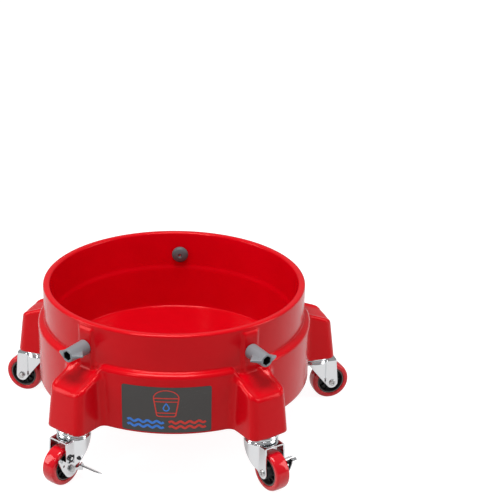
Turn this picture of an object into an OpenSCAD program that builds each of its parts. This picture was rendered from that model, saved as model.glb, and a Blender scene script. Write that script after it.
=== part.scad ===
// Rolling base for a round bucket: a moulded tray on five swivel casters, with three clamp screws.
// Millimetres, +Z up. The origin is the middle of the floor that the bucket stands on.
// Leg angles are measured from the front, which is -Y, and grow towards +X.

/* [Tray] */
// Inside diameter of the tray at its rim
tray_d = 312; // [280:1:360]
// Height of the rim above the skirt's lower edge
tray_h = 126; // [110:1:150]
// Thickness of the wall at the rim
rim_wall = 8.6; // [7:0.2:11]
// Radius that rounds the rim's two edges
rim_round = 2.8; // [1:0.2:3.2]
// How far the skirt stands outside the upper band
skirt_step = 8.1; // [6:0.1:12]
// Height of the skirt's shoulder above its lower edge
shoulder_h = 78; // [74:1:84]
// Radius that rounds the shoulder
shoulder_round = 5.5; // [3:0.5:5.5]
// How much narrower the tray is at its floor than at its rim, on the radius
seat_taper = 6.4; // [2:0.2:8]
// Height of the floor above the skirt's lower edge
floor_rise = 19.6; // [16:0.2:24]
// Thickness of the floor
floor_t = 4.5; // [3:0.5:6]
// Thickness of the skirt, the inner wall and the pods
shell_wall = 4; // [3:0.2:5]
// Thickness of the stiffening ribs
rib_t = 3; // [2:0.2:4]

/* [Leg pods] */
// Radius of the pod's outer face at its foot
pod_r_foot = 213.5; // [210:0.5:225]
// Radius of the pod's outer face at its top edge
pod_r_top = 206.5; // [200:0.5:209]
// Height of the pod's top edge above the skirt's lower edge
pod_top_h = 52; // [46:1:56]
// Slope of the pod's top, in degrees
pod_slope = 20; // [16:1:22]
// Half the width of a pod
pod_half_w = 26; // [24:0.5:30]
// Radius of the pod's upright corners
pod_corner = 11; // [6:0.5:14]
// Radius of the rounded edge round a pod's top
pod_edge_round = 4; // [2:0.5:6]
// Radius that blends the pod into the skirt
pod_flare = 9; // [5:0.5:12]
// Half the width of the flat above each pod, which notches the shoulder
notch_half_w = 17; // [14:0.5:19]

/* [Caster] */
// Distance from the tray's axis to each swivel axis
swivel_r = 192; // [188:0.5:198]
// Diameter of the wheel
wheel_d = 50.4; // [48:0.2:54]
// Width of the tread
wheel_w = 18.6; // [16:0.2:20]
// Diameter of the hub inside the tread
hub_d = 36.4; // [30:0.2:40]
// Horizontal distance from the swivel axis to the axle
trail = 23.5; // [20:0.5:26]
// Depth of the axle below the skirt's lower edge
axle_drop = 44; // [42:0.5:50]
// Diameter of the raceway
race_d = 42; // [38:1:44]
// Width over the fork's cheeks
fork_w = 28.4; // [26:0.2:32]
// Thickness of the fork's steel
fork_t = 2; // [1.5:0.1:2.4]
// Diameter of the threaded stem
stem_d = 10; // [8:0.5:12]
// Length of the stem above the raceway
stem_l = 36; // [25:1:40]
// Diameter of the axle bolt
axle_d = 6; // [5:0.5:7]
// Diameter of the bearing balls
ball_d = 4.8; // [4:0.2:5]
// Number of bearing balls
ball_count = 12; // [8:1:14]

/* [Brake] */
// Length of the pedal outside the lever's plate
pedal_l = 28; // [20:1:34]
// Width of the pedal
pedal_w = 9; // [7:0.5:10]
// Thickness of the lever's steel
lever_t = 1.5; // [1.2:0.1:2]

/* [Clamp screws] */
// Height of the screws above the skirt's lower edge
clamp_h = 95; // [92:0.5:98]
// Length of the knob
knob_l = 31; // [26:1:38]
// Diameter of the knob at its base
knob_base_d = 19; // [16:0.5:20]
// Diameter of the knob at its outer end
knob_end_d = 16; // [13:0.5:17]
// Distance from the screw's axis to the tip of a wing
wing_r = 19.5; // [12:0.5:20]
// Diameter of the screw
screw_d = 6; // [5:0.5:6]
// Width across the flats of the screw's head
head_af = 8; // [7.5:0.1:9]
// Diameter of the foot that grips the bucket
foot_d = 22; // [18:0.5:24]
// Travel of the screws
clamp_travel = 16; // [8:1:20]

/* [Label] */
// Width of the label along the skirt, in degrees
label_angle = 35.8; // [25:0.1:40]
// Height of the label
label_h = 60.5; // [45:0.5:64]
// Thickness of the label
label_t = 0.5; // [0.4:0.1:1]

/* [Fits] */
// Radial clearance of a part that turns on another
run_gap = 0.05; // [0.02:0.01:0.09]
// Gap between parts that pass each other
pass_gap = 0.4; // [0.3:0.05:0.6]

/* [Hidden] */
$fn = 96;
eps = 0.01;
leg_count = 5;
leg_pitch = 360 / leg_count;
tray_r = tray_d / 2;
band_r = tray_r + rim_wall;
skirt_r = band_r + skirt_step;
floor_r = tray_r - seat_taper;
shoulder_in = skirt_step - shoulder_round;
shoulder_low = shoulder_h - shoulder_round;
inner_step = 1.4;
flare_bite = 0.4;
notch_skim = 0.2;
cup_foot = 3;
pad_r = band_r + 2.7;
pad_half_w = 9;
pad_top = tray_h - 5;
tray_rib_count = 10;
hub_ring_r = 24;
ring_lift = 0.5;
clamp_legs = [1, 2, 4];
brake_legs = [1, 2];
// Caster levels, measured from the skirt's lower edge
race_top = -0.8;
race_bottom = -5.6;
crown_top = -9.3;
crown_bottom = crown_top - 2.2;
dish_top = race_bottom - 1.2;
ball_z = (race_bottom + dish_top) / 2;
ball_ring_r = race_d / 2 - 7;
king_d = 9;
king_head_t = 2.4;
fork_front = trail + 4.5;
fork_rear = -13;
fork_rear_low = -13;
cheek_in = fork_w / 2 - fork_t;
cheek_round = 7.6;
axle_z = -axle_drop;
sleeve_d = axle_d + 4;
axle_head_d = 8.8;
axle_head_t = 1.9;
tread_round = 3;
socket_wall = 3;
socket_d = stem_d + 2 * socket_wall;
boss_wall = 4;
lever_in = fork_w / 2 + pass_gap;
lever_out = lever_in + lever_t;
lever_eye_r = 11.5;
lever_top_r = 8;
spring_ring_r = 3.2;
spring_wire_r = 0.8;
spring_at = [-1.5, lever_top_r + spring_ring_r + spring_wire_r + 0.5 + pass_gap];
rivet_d = 4.2;
rivet_at = [-12, 9];
pedal_tilt = 32;
pedal_rear = [-23.3, lever_out - 0.7, -6.9];
insert_d = screw_d + 6;
knob_gap = pass_gap;
foot_t = 6;
head_t = 4;
tip_d = 4.4;
tip_head_d = 6.6;
tip_head_t = 1.2;
socket_depth = 20;

CASTER_PARTS = ["stem", "fork", "balls", "axle", "nut", "sleeve", "hub", "tread"];
BRAKE_PARTS = ["lever", "spring", "rivet"];
CLAMP_PARTS = ["knob", "screw", "foot"];

// ---- helpers ----

function leg_angle(n) = -leg_pitch / 2 + leg_pitch * (n - 1);
function arc(cx, cy, r, a0, a1, steps = 8) =
    [for (i = [0:steps]) let (a = a0 + (a1 - a0) * i / steps) [cx + r * cos(a), cy + r * sin(a)]];
// Height of a pod's sloping top at radius r
function ramp_z(r) = pod_top_h + (pod_r_top - r) * tan(pod_slope);
// Inside radius of the tray at height z above the skirt's edge
function seat_r(z) = floor_r + (seat_taper - inner_step) * (z - floor_rise) / (tray_h - floor_rise)
    + (z > shoulder_h ? inner_step : 0);

// Lowers what is measured from the skirt's edge so that the floor's top is z = 0
module from_skirt() {
    translate([0, 0, -floor_rise]) children();
}

// Turns +X to point outwards along leg n
module at_leg_angle(n) {
    rotate([0, 0, leg_angle(n) - 90]) children();
}

// The frame of one caster: origin on the swivel axis, +X the way the wheel trails
module at_caster(n) {
    from_skirt() at_leg_angle(n) translate([swivel_r, 0, 0]) children();
}

// The frame of one clamp screw: +X outwards, origin on the tray's axis at the screw's height
module at_clamp(n) {
    from_skirt() at_leg_angle(clamp_legs[n - 1]) translate([0, 0, clamp_h]) children();
}

// A solid of revolution about an axis that runs along Y
module spin_y(points) {
    rotate([-90, 0, 0]) rotate_extrude() polygon(points);
}

// ---- tray ----

// Outline of one half of a pod, from inside the skirt outwards, turned by s = 1 or -1
function pod_half(inset, s) =
    let (
        r_root = skirt_r - inset - flare_bite,
        w = pod_half_w - inset,
        r_out = pod_r_foot - inset,
        corner = max(pod_corner - inset, 2),
        flare = pod_flare + inset,
        // centre of the blend, outside both the skirt and the pod's side
        fx = sqrt(pow(r_root + flare, 2) - pow(w + flare, 2)),
        fa = atan2(w + flare, fx),
        // centre of the upright corner
        cx = sqrt(pow(r_out - corner, 2) - pow(w - corner, 2)),
        ca = atan2(w - corner, cx),
        blend = arc(fx, w + flare, flare, fa + 180, 270, 6),
        round_end = arc(cx, w - corner, corner, 90, ca, 6)
    )
    [for (p = concat(blend, round_end)) [p[0], s * p[1]]];

function flipped(points) = [for (i = [len(points) - 1:-1:0]) points[i]];

// Plan of one pod, with its point inside the tray's wall
module pod_plan(inset) {
    tip = [[pod_r_foot - inset, 0]];
    polygon(concat([[floor_r - 40, 0]], pod_half(inset, -1), tip, flipped(pod_half(inset, 1))));
}

module pod_prisms(inset) {
    for (n = [1:leg_count]) {
        at_leg_angle(n) linear_extrude(height = tray_h) pod_plan(inset);
    }
}

module ring_profile() {
    polygon(concat(
        [[floor_r, floor_rise]],
        [[seat_r(shoulder_h - 3), shoulder_h - 3]],
        [[seat_r(shoulder_h) + inner_step, shoulder_h + 1]],
        arc(tray_r + rim_round, tray_h - rim_round, rim_round, 180, 90),
        arc(band_r - rim_round, tray_h - rim_round, rim_round, 90, 0),
        arc(band_r + shoulder_in, shoulder_h + shoulder_in, shoulder_in, 180, 270, 5),
        arc(skirt_r - shoulder_round, shoulder_low, shoulder_round, 90, 0),
        [[skirt_r, 0], [floor_r, 0]]
    ));
}

// The pods' outer shape in section: a leaning face and a sloping top, with the edge between them rounded
module pod_section() {
    lean = atan2(pod_r_foot - pod_r_top, pod_top_h);
    reach = pod_edge_round / sin((90 + lean + pod_slope) / 2);
    inward = 225 + (lean - pod_slope) / 2;
    edge_r = pod_r_top + reach * cos(inward);
    edge_z = pod_top_h + reach * sin(inward);
    polygon(concat(
        [[tray_r + 2, 0], [pod_r_foot, 0]],
        arc(edge_r, edge_z, pod_edge_round, lean, 90 - pod_slope, 6),
        [[tray_r + 2, ramp_z(tray_r + 2)]]
    ));
}

module pod_solids() {
    intersection() {
        pod_prisms(0);
        rotate_extrude() pod_section();
    }
}

// The hollow between the tray's inner wall and the skirt, opening into the pods
module hollow() {
    roof_in = ramp_z(tray_r) - shell_wall * 1.2;
    roof_skirt = ramp_z(skirt_r) - shell_wall * 1.2;
    rotate_extrude() polygon([
        [floor_r + shell_wall, -1],
        [skirt_r - shell_wall, -1],
        [skirt_r - shell_wall, roof_skirt],
        [seat_r(shoulder_h) + shell_wall, roof_in]
    ]);
    intersection() {
        translate([0, 0, -1]) pod_prisms(shell_wall);
        rotate_extrude() polygon([
            [skirt_r - shell_wall - 3, -1.5],
            [pod_r_foot - shell_wall, -1.5],
            [pod_r_top - shell_wall, ramp_z(pod_r_top) - shell_wall * 1.4],
            [skirt_r - shell_wall - 3, roof_skirt - 1]
        ]);
    }
}

// Flat above each pod where the shoulder is cut away down to the pod's top
module shoulder_notches() {
    intersection() {
        for (n = [1:leg_count]) {
            at_leg_angle(n) translate([band_r - 12, -notch_half_w, 0])
                cube([skirt_step + 30, 2 * notch_half_w, tray_h]);
        }
        rotate_extrude() polygon([
            [band_r + notch_skim, ramp_z(band_r) + notch_skim],
            [skirt_r + 8, ramp_z(skirt_r + 8) + notch_skim],
            [skirt_r + 8, shoulder_h + skirt_step],
            [band_r + notch_skim, shoulder_h + skirt_step]
        ]);
    }
}

module clamp_pads() {
    for (leg = clamp_legs) {
        at_leg_angle(leg) translate([tray_r + 2, -pad_half_w, ramp_z(pad_r) - 6])
            cube([pad_r - tray_r - 2, 2 * pad_half_w, pad_top - ramp_z(pad_r) + 6]);
    }
}

module floor_ribs() {
    rib_z = cup_foot + 3;
    rib_h = floor_rise - floor_t - rib_z + rib_t / 2;
    for (i = [0:tray_rib_count - 1]) {
        rotate([0, 0, i * 360 / tray_rib_count]) translate([hub_ring_r - rib_t / 2, -rib_t / 2, rib_z])
            cube([floor_r + shell_wall / 2 - hub_ring_r, rib_t, rib_h]);
    }
    difference() {
        translate([0, 0, rib_z + ring_lift]) cylinder(r = hub_ring_r, h = rib_h - ring_lift);
        cylinder(r = hub_ring_r - rib_t, h = floor_rise - floor_t);
    }
}

// Boss that holds a caster's stem, tied to the pod's walls by a cross of ribs
module stem_bosses() {
    boss_r = socket_d / 2 + boss_wall;
    intersection() {
        for (n = [1:leg_count]) {
            at_leg_angle(n) {
                translate([swivel_r, 0, 0]) cylinder(r = boss_r, h = tray_h);
                translate([swivel_r, -pod_half_w + 1, 8]) translate([-rib_t / 2, 0, 0])
                    cube([rib_t, 2 * pod_half_w - 2, tray_h]);
                translate([floor_r + shell_wall / 2, -rib_t / 2, 8])
                    cube([pod_r_top - floor_r - shell_wall, rib_t, tray_h]);
            }
        }
        rotate_extrude() polygon([
            [floor_r + 1, 0],
            [pod_r_foot - 2, 0],
            [pod_r_top - 2, ramp_z(pod_r_top) - 2],
            [floor_r + 1, ramp_z(floor_r + 1) - 6]
        ]);
    }
}

module dolly_body() {
    color([0.75, 0.0, 0.06]) from_skirt() difference() {
        union() {
            difference() {
                union() {
                    rotate_extrude() ring_profile();
                    pod_solids();
                }
                hollow();
                shoulder_notches();
            }
            clamp_pads();
            stem_bosses();
            // floor
            translate([0, 0, floor_rise - floor_t]) cylinder(r = floor_r + 1, h = floor_t);
            floor_ribs();
        }
        // lifts the inner wall's foot clear of the skirt's edge
        translate([0, 0, -1]) cylinder(r = floor_r + shell_wall + 1.5, h = cup_foot + 1);
        for (n = [1:leg_count]) {
            at_leg_angle(n) translate([swivel_r, 0, -1]) cylinder(d = socket_d, h = stem_l + 1);
        }
        for (leg = clamp_legs) {
            at_leg_angle(leg) translate([tray_r - 12, 0, clamp_h]) rotate([0, 90, 0])
                cylinder(d = insert_d, h = 40);
        }
    }
}

// Printed label wrapped round the front of the skirt
module front_label() {
    color([0.24, 0.22, 0.22]) from_skirt() translate([0, 0, 2.5])
        rotate([0, 0, -90 - label_angle / 2]) rotate_extrude(angle = label_angle, $fn = 180)
            translate([skirt_r, 0]) square([label_t, label_h]);
}

// Threaded steel sockets moulded into the pods, one for each caster's stem
module stem_sockets() {
    color("silver") for (n = [1:leg_count]) {
        at_caster(n) difference() {
            cylinder(d = socket_d, h = stem_l);
            translate([0, 0, -1]) cylinder(d = stem_d, h = stem_l + 2);
        }
    }
}

// Threaded bushes that the clamp screws turn in
module clamp_inserts() {
    color("goldenrod") for (n = [1:len(clamp_legs)]) {
        at_clamp(n) rotate([0, 90, 0]) difference() {
            translate([0, 0, seat_r(clamp_h) + 1]) cylinder(d = insert_d, h = pad_r - seat_r(clamp_h) - 1);
            cylinder(d = screw_d + 2 * run_gap, h = pad_r + 1);
        }
    }
}

// ---- caster ----

// Threaded stem, king pin and the raceway that stays still
module caster_stem() {
    color("silver") difference() {
        union() {
            translate([0, 0, race_top]) cylinder(d = stem_d, h = stem_l - race_top - 1);
            translate([0, 0, race_top]) cylinder(d = race_d * 0.62, h = -race_top);
            rotate_extrude() polygon(concat(
                [[0, race_bottom], [race_d / 2 - 1, race_bottom]],
                arc(race_d / 2 - 1.4, race_bottom + 1.4, 1.4, -60, 0, 4),
                arc(race_d / 2 - 3, race_top - 3, 3, 0, 90, 5),
                [[0, race_top]]
            ));
            translate([0, 0, crown_bottom - pass_gap - king_head_t]) {
                cylinder(d = king_d, h = race_bottom - crown_bottom + pass_gap + king_head_t + eps);
                cylinder(d = king_d + 8, h = king_head_t);
            }
        }
        rotate_extrude() translate([ball_ring_r, ball_z]) circle(d = ball_d + 2 * pass_gap, $fn = 48);
    }
}

// Side of the fork: upright at the front, slanting from the crown's back down to the axle's eye
module fork_side_profile() {
    run = trail - fork_rear;
    drop = fork_rear_low - axle_z;
    slant = atan2(-drop, run) - asin(cheek_round / norm([run, drop]));
    polygon(concat(
        [[fork_rear, crown_top], [fork_rear, fork_rear_low]],
        arc(trail, axle_z, cheek_round, slant + 270, 360, 12),
        [[fork_front, crown_top]]
    ));
}

// Stamped fork: round crown with a flat front, and two cheeks that carry the axle
module caster_fork() {
    color("silver") difference() {
        union() {
            translate([0, 0, crown_bottom]) linear_extrude(height = crown_top - crown_bottom) {
                circle(d = race_d);
                translate([0, -fork_w / 2]) square([fork_front, fork_w]);
            }
            translate([0, 0, crown_top - eps])
                cylinder(d1 = race_d - 1, d2 = race_d - 4, h = dish_top - crown_top);
            intersection() {
                translate([0, race_d / 2, 0]) rotate([90, 0, 0])
                    linear_extrude(height = race_d) fork_side_profile();
                translate([0, 0, axle_z - 20]) linear_extrude(height = axle_drop + 20) {
                    difference() {
                        union() {
                            circle(d = race_d);
                            translate([8, -fork_w / 2]) square([fork_front + 20, fork_w]);
                        }
                        circle(d = race_d - 2 * fork_t);
                        translate([8 - fork_t, -cheek_in]) square([fork_front + 30, 2 * cheek_in]);
                    }
                }
            }
        }
        translate([0, 0, crown_bottom - 1]) cylinder(d = king_d + 2 * run_gap, h = 20);
        rotate_extrude() translate([ball_ring_r, ball_z]) circle(d = ball_d, $fn = 48);
        translate([trail, race_d, axle_z]) rotate([90, 0, 0]) cylinder(d = axle_d, h = 2 * race_d);
    }
}

module caster_balls() {
    color("gainsboro") for (i = [0:ball_count - 1]) {
        rotate([0, 0, i * 360 / ball_count]) translate([ball_ring_r, 0, ball_z]) sphere(d = ball_d, $fn = 32);
    }
}

// Distance from the wheel's middle to the face the axle's nut sits on
function nut_seat(braked) = braked ? lever_out + pass_gap : fork_w / 2;

module caster_axle(braked) {
    reach = nut_seat(braked) + 3.2;
    color("silver") translate([trail, 0, axle_z]) rotate([-90, 0, 0]) {
        translate([0, 0, -fork_w / 2 - axle_head_t]) cylinder(d = axle_head_d, h = axle_head_t);
        translate([0, 0, -fork_w / 2]) cylinder(d = axle_d, h = fork_w / 2 + reach);
    }
}

module caster_nut(braked) {
    color("silver") translate([trail, nut_seat(braked), axle_z]) rotate([-90, 0, 0]) difference() {
        cylinder(d = axle_head_d, h = 2.6, $fn = 6);
        translate([0, 0, -1]) cylinder(d = axle_d, h = 5);
    }
}

// Steel tube that the axle clamps between the cheeks and the wheel turns on
module caster_sleeve() {
    color("gray") translate([trail, 0, axle_z]) rotate([-90, 0, 0]) difference() {
        translate([0, 0, -cheek_in]) cylinder(d = sleeve_d, h = 2 * cheek_in);
        translate([0, 0, -cheek_in - 1]) cylinder(d = axle_d, h = 2 * cheek_in + 2);
    }
}

module caster_hub() {
    bore = sleeve_d / 2 + run_gap;
    face = cheek_in - pass_gap;
    web = wheel_w * 0.2;
    rim_half = wheel_w / 2 - 0.8;
    color([0.08, 0.08, 0.08]) translate([trail, 0, axle_z]) spin_y([
        [bore, -face], [bore + 3, -face], [bore + 4, -web], [hub_d / 2 - 3.4, -web],
        [hub_d / 2 - 2.4, -rim_half], [hub_d / 2, -rim_half], [hub_d / 2, rim_half],
        [hub_d / 2 - 2.4, rim_half], [hub_d / 2 - 3.4, web], [bore + 4, web],
        [bore + 3, face], [bore, face]
    ]);
}

module caster_tread() {
    r = wheel_d / 2;
    half = wheel_w / 2;
    color([0.78, 0.02, 0.05]) translate([trail, 0, axle_z]) spin_y(concat(
        [[hub_d / 2, -half + 0.4], [hub_d / 2 + 1, -half]],
        arc(r - tread_round, -half + tread_round, tread_round, -90, 0),
        arc(r - tread_round, half - tread_round, tread_round, 0, 90),
        [[hub_d / 2 + 1, half], [hub_d / 2, half - 0.4]]
    ));
}

// ---- brake ----

// The lever's plate in its own plane: +X forwards, +Y up, origin on the axle
module lever_outline() {
    polygon(concat(
        arc(0, 0, lever_eye_r, 215, 330, 10),
        [[15.5, 3], [19, 12], [20, 18.5], [17.5, 20], [13, 15.5], [8, 11.5]],
        arc(0, 0, lever_top_r, 70, 115, 4),
        [[-7.6, -3], [-12, -4.2], [-20, -1.2], [-22.5, -5], [-20, -12]]
    ));
}

// Stamped lever outside the fork's cheek, with a pedal that stands out sideways
module brake_lever() {
    color("silver") translate([trail, 0, axle_z]) {
        difference() {
            translate([0, lever_out, 0]) rotate([90, 0, 0]) linear_extrude(height = lever_t) lever_outline();
            translate([0, lever_out + 1, 0]) rotate([90, 0, 0]) cylinder(d = axle_d + 2 * run_gap, h = 6);
            translate([12.3, lever_out + 1, 8]) rotate([90, 0, 0]) cylinder(d = 3, h = 6);
        }
        // pedal
        translate(pedal_rear) rotate([0, -pedal_tilt, 0]) translate([0, 0, -lever_t]) difference() {
            cube([pedal_w, pedal_l + lever_t, lever_t]);
            translate([pedal_w - 2.5, pedal_l + lever_t - 4, -1]) cube([6, 6, lever_t + 2]);
        }
        // thumb tab
        translate([17, lever_in, 18.8]) rotate([0, 38, 0]) cube([3.6, 6.5, lever_t]);
    }
}

// Coil that holds the lever up, on the cheek above the axle
module brake_spring() {
    color([0.2, 0.2, 0.2]) translate([trail + spring_at[0], fork_w / 2, axle_z + spring_at[1]])
        rotate([-90, 0, 0]) {
            rotate_extrude() translate([spring_ring_r, spring_wire_r + 0.1])
                circle(r = spring_wire_r, $fn = 24);
            cylinder(r = spring_ring_r - spring_wire_r + 0.1, h = 2.2);
        }
}

// Stop rivet that stands on the curved part of the cheek, behind the spring
module brake_rivet() {
    x = trail + rivet_at[0];
    foot_y = sqrt(pow(race_d / 2, 2) - pow(x + rivet_d / 2, 2)) - 0.5;
    head_y = sqrt(pow(race_d / 2, 2) - pow(x - rivet_d / 2, 2)) + 0.6;
    color([0.3, 0.3, 0.3]) difference() {
        translate([x, foot_y, axle_z + rivet_at[1]]) rotate([-90, 0, 0]) {
            cylinder(d = rivet_d, h = head_y - foot_y);
            translate([0, 0, head_y - foot_y]) cylinder(d1 = rivet_d, d2 = rivet_d - 1.2, h = 0.8);
        }
        translate([0, 0, axle_z]) cylinder(d = race_d, h = axle_drop);
    }
}

// ---- clamp screws ----

// Radius of the foot's flat back when the screw is fully undone
foot_home = sqrt(pow(seat_r(clamp_h), 2) - pow(foot_d / 2, 2)) - pass_gap;
// Radius of the knob's base when the screw is fully done up
knob_home = pad_r + knob_gap;
// The third screw stands undone, with its foot back against the wall
function screw_shift(n) = n == 3 ? clamp_travel : 0;
// Radius of a foot's back as the screw stands
function foot_back(n) = foot_home - clamp_travel + screw_shift(n);

// Winged knob with a hexagonal socket that holds the screw's head
module clamp_knob(n) {
    base = knob_home + screw_shift(n);
    color([0.58, 0.62, 0.64]) translate([base, 0, 0]) rotate([0, 90, 0]) difference() {
        union() {
            rotate_extrude() polygon([
                [0, 0], [knob_base_d / 2 - 0.8, 0], [knob_base_d / 2, 0.8], [knob_base_d / 2 - 0.3, 3],
                [knob_end_d / 2, knob_l - 0.8], [knob_end_d / 2 - 0.8, knob_l], [0, knob_l]
            ]);
            for (s = [0, 180]) {
                rotate([0, 0, s + 90]) translate([0, 1.6, 0]) rotate([90, 0, 0]) linear_extrude(height = 3.2)
                    polygon([
                        [knob_end_d / 2 - 3, knob_l - 23], [wing_r - 1.5, knob_l - 9],
                        [wing_r, knob_l - 7], [wing_r - 1.2, knob_l - 5.4],
                        [knob_end_d / 2 + 1, knob_l], [knob_end_d / 2 - 3, knob_l]
                    ]);
            }
        }
        translate([0, 0, -1]) cylinder(d = screw_d, h = knob_l);
        translate([0, 0, knob_l - socket_depth])
            cylinder(d = head_af / cos(30), h = socket_depth + 1, $fn = 6);
    }
}

module clamp_screw(n) {
    head_z = knob_home + screw_shift(n) + knob_l - socket_depth;
    tip = foot_back(n) - foot_t + 1.6;
    color("silver") rotate([0, 90, 0]) {
        translate([0, 0, head_z]) cylinder(d = head_af / cos(30), h = head_t, $fn = 6);
        translate([0, 0, foot_back(n) + pass_gap])
            cylinder(d = screw_d, h = head_z - foot_back(n) - pass_gap + eps);
        translate([0, 0, tip]) cylinder(d = tip_d, h = foot_back(n) + pass_gap - tip + eps);
        translate([0, 0, tip]) cylinder(d = tip_head_d, h = tip_head_t);
    }
}

// Domed foot that the screw's tip turns in
module clamp_foot(n) {
    r = foot_d / 2;
    tip = foot_back(n) - foot_t + 1.6;
    color([0.5, 0.53, 0.55]) rotate([0, 90, 0]) difference() {
        translate([0, 0, foot_back(n)]) rotate_extrude() polygon([
            [0, 0], [r, 0], [r, -1.8], [r - 0.8, -3], [r - 3, -foot_t + 1.2], [r - 6, -foot_t + 0.3],
            [0, -foot_t]
        ]);
        translate([0, 0, tip - pass_gap])
            cylinder(d = tip_head_d + 2 * run_gap, h = tip_head_t + 2 * pass_gap);
        translate([0, 0, tip]) cylinder(d = tip_d + 2 * run_gap, h = foot_t + 2);
        translate([0, 0, foot_back(n) - foot_t - 1]) cylinder(d = 3, h = foot_t);
    }
}

// ---- the assembly ----

dolly_body();
front_label();
stem_sockets();
clamp_inserts();
for (n = [1:leg_count]) {
    braked = len(search(n, brake_legs)) > 0;
    at_caster(n) caster_stem();
    at_caster(n) caster_fork();
    at_caster(n) caster_balls();
    at_caster(n) caster_axle(braked);
    at_caster(n) caster_nut(braked);
    at_caster(n) caster_sleeve();
    at_caster(n) caster_hub();
    at_caster(n) caster_tread();
}
for (n = [1:len(brake_legs)]) {
    at_caster(brake_legs[n - 1]) brake_lever();
    at_caster(brake_legs[n - 1]) brake_spring();
    at_caster(brake_legs[n - 1]) brake_rivet();
}
for (n = [1:len(clamp_legs)]) {
    at_clamp(n) clamp_knob(n);
    at_clamp(n) clamp_screw(n);
    at_clamp(n) clamp_foot(n);
}
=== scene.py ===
import logging
import math
from dataclasses import dataclass, field
from enum import Enum
from typing import Callable, Sequence

import bmesh
import bpy
import numpy as np
from mathutils import Matrix, Vector


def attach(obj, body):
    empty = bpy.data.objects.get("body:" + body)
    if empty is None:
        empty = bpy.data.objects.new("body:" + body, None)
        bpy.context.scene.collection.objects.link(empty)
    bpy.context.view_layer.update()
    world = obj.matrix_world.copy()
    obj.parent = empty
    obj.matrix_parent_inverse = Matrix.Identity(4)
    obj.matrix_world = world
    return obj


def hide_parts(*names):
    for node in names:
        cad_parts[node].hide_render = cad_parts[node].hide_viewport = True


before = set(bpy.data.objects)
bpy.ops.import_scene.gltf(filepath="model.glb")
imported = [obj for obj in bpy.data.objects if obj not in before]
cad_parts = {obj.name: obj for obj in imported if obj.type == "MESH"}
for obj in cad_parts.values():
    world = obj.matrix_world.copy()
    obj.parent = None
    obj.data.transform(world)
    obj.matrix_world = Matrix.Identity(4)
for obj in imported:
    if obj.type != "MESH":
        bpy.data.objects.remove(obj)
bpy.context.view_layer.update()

LOG = logging.getLogger("bucket_base")
MM = 0.001
FLOOR_RISE = 19.6
LEG_COUNT = 5
LEG_PITCH = 360.0 / LEG_COUNT
SWIVEL_R = 192.0
RGBA = tuple[float, float, float, float]
Points = np.ndarray


# ---------------------------------------------------------------- names and places


class Slot(Enum):
    """The record's material slots."""

    MOULDED_RED = "moulded_red"
    LABEL_PRINT = "label_print"
    SOCKET_STEEL = "socket_steel"
    BUSH_BRASS = "bush_brass"
    CHROME = "chrome_plate"
    BALL_STEEL = "ball_steel"
    HUB_BLACK = "hub_black"
    TREAD_RED = "tread_red"
    SPRING_DARK = "spring_dark"
    KNOB_GREY = "knob_grey"
    FOOT_GREY = "foot_grey"


class Screw(Enum):
    """How a clamp screw stands, as the distance that its foot has moved outwards."""

    DONE_UP = 0.0
    UNDONE = 16.0


@dataclass(frozen=True)
class Leg:
    """One leg's own frame: x outwards, y along the rim, z up from the skirt's edge, in mm.

    Attributes:
        number: 1 to 5, from the front left round to the left.
    """

    number: int

    @property
    def turn(self) -> float:
        """The leg's angle from the front, in radians."""
        return math.radians(LEG_PITCH * (self.number - 1) - LEG_PITCH / 2)

    def frame(self, radius: float = 0.0, height: float = 0.0) -> Matrix:
        """The matrix from millimetres on this leg to metres in the row frame.

        Args:
            radius: distance of the frame's origin from the tray's axis.
            height: height of the frame's origin above the skirt's edge.

        Returns:
            The 4x4 matrix.
        """
        s, c = math.sin(self.turn), math.cos(self.turn)
        turn = Matrix(((s, c, 0, 0), (-c, s, 0, 0), (0, 0, 1, -FLOOR_RISE), (0, 0, 0, 1)))
        return Matrix.Scale(MM, 4) @ turn @ Matrix.Translation((radius, 0, height))


TRAY_FRAME = Matrix.Scale(MM, 4) @ Matrix.Translation((0, 0, -FLOOR_RISE))


# ---------------------------------------------------------------- mesh making


def new_mesh(name: str, points: Points, faces: Sequence[Sequence[int]], place: Matrix) -> bpy.types.Mesh:
    """A mesh from points in millimetres.

    Args:
        name: the mesh's name.
        points: the points, one row each.
        faces: the faces, as rows of point numbers.
        place: the matrix that puts the points in the row frame.

    Returns:
        The mesh, smooth shaded.
    """
    mesh = bpy.data.meshes.new(name)
    mesh.from_pydata([tuple(p) for p in points], [], [tuple(int(i) for i in f) for f in faces])
    mesh.transform(place)
    mesh.polygons.foreach_set("use_smooth", [True] * len(mesh.polygons))
    mesh.update()
    return mesh


def loft(rings: Sequence[Points], cap_start: bool, cap_end: bool, looped: bool = False) -> tuple[Points, list]:
    """Joins closed rings of the same number of points, each to the next.

    Args:
        rings: the rings, each an (n, 3) array.
        cap_start: closes the first ring with a fan.
        cap_end: closes the last ring with a fan.
        looped: joins the last ring to the first.

    Returns:
        The points and the faces.
    """
    n = len(rings[0])
    points = [np.vstack(rings)]
    total = len(rings)
    step = np.arange(n)
    after = (step + 1) % n
    faces: list = []
    for k in range(total if looped else total - 1):
        a, b = k * n, ((k + 1) % total) * n
        faces += np.stack([a + step, a + after, b + after, b + step], 1).tolist()
    top = total * n
    if cap_start:
        points.append(rings[0].mean(0, keepdims=True))
        faces += np.stack([after, step, np.full(n, top)], 1).tolist()
        top += 1
    if cap_end:
        points.append(rings[-1].mean(0, keepdims=True))
        last = (total - 1) * n
        faces += np.stack([last + step, last + after, np.full(n, top)], 1).tolist()
    return np.vstack(points), faces


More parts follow.
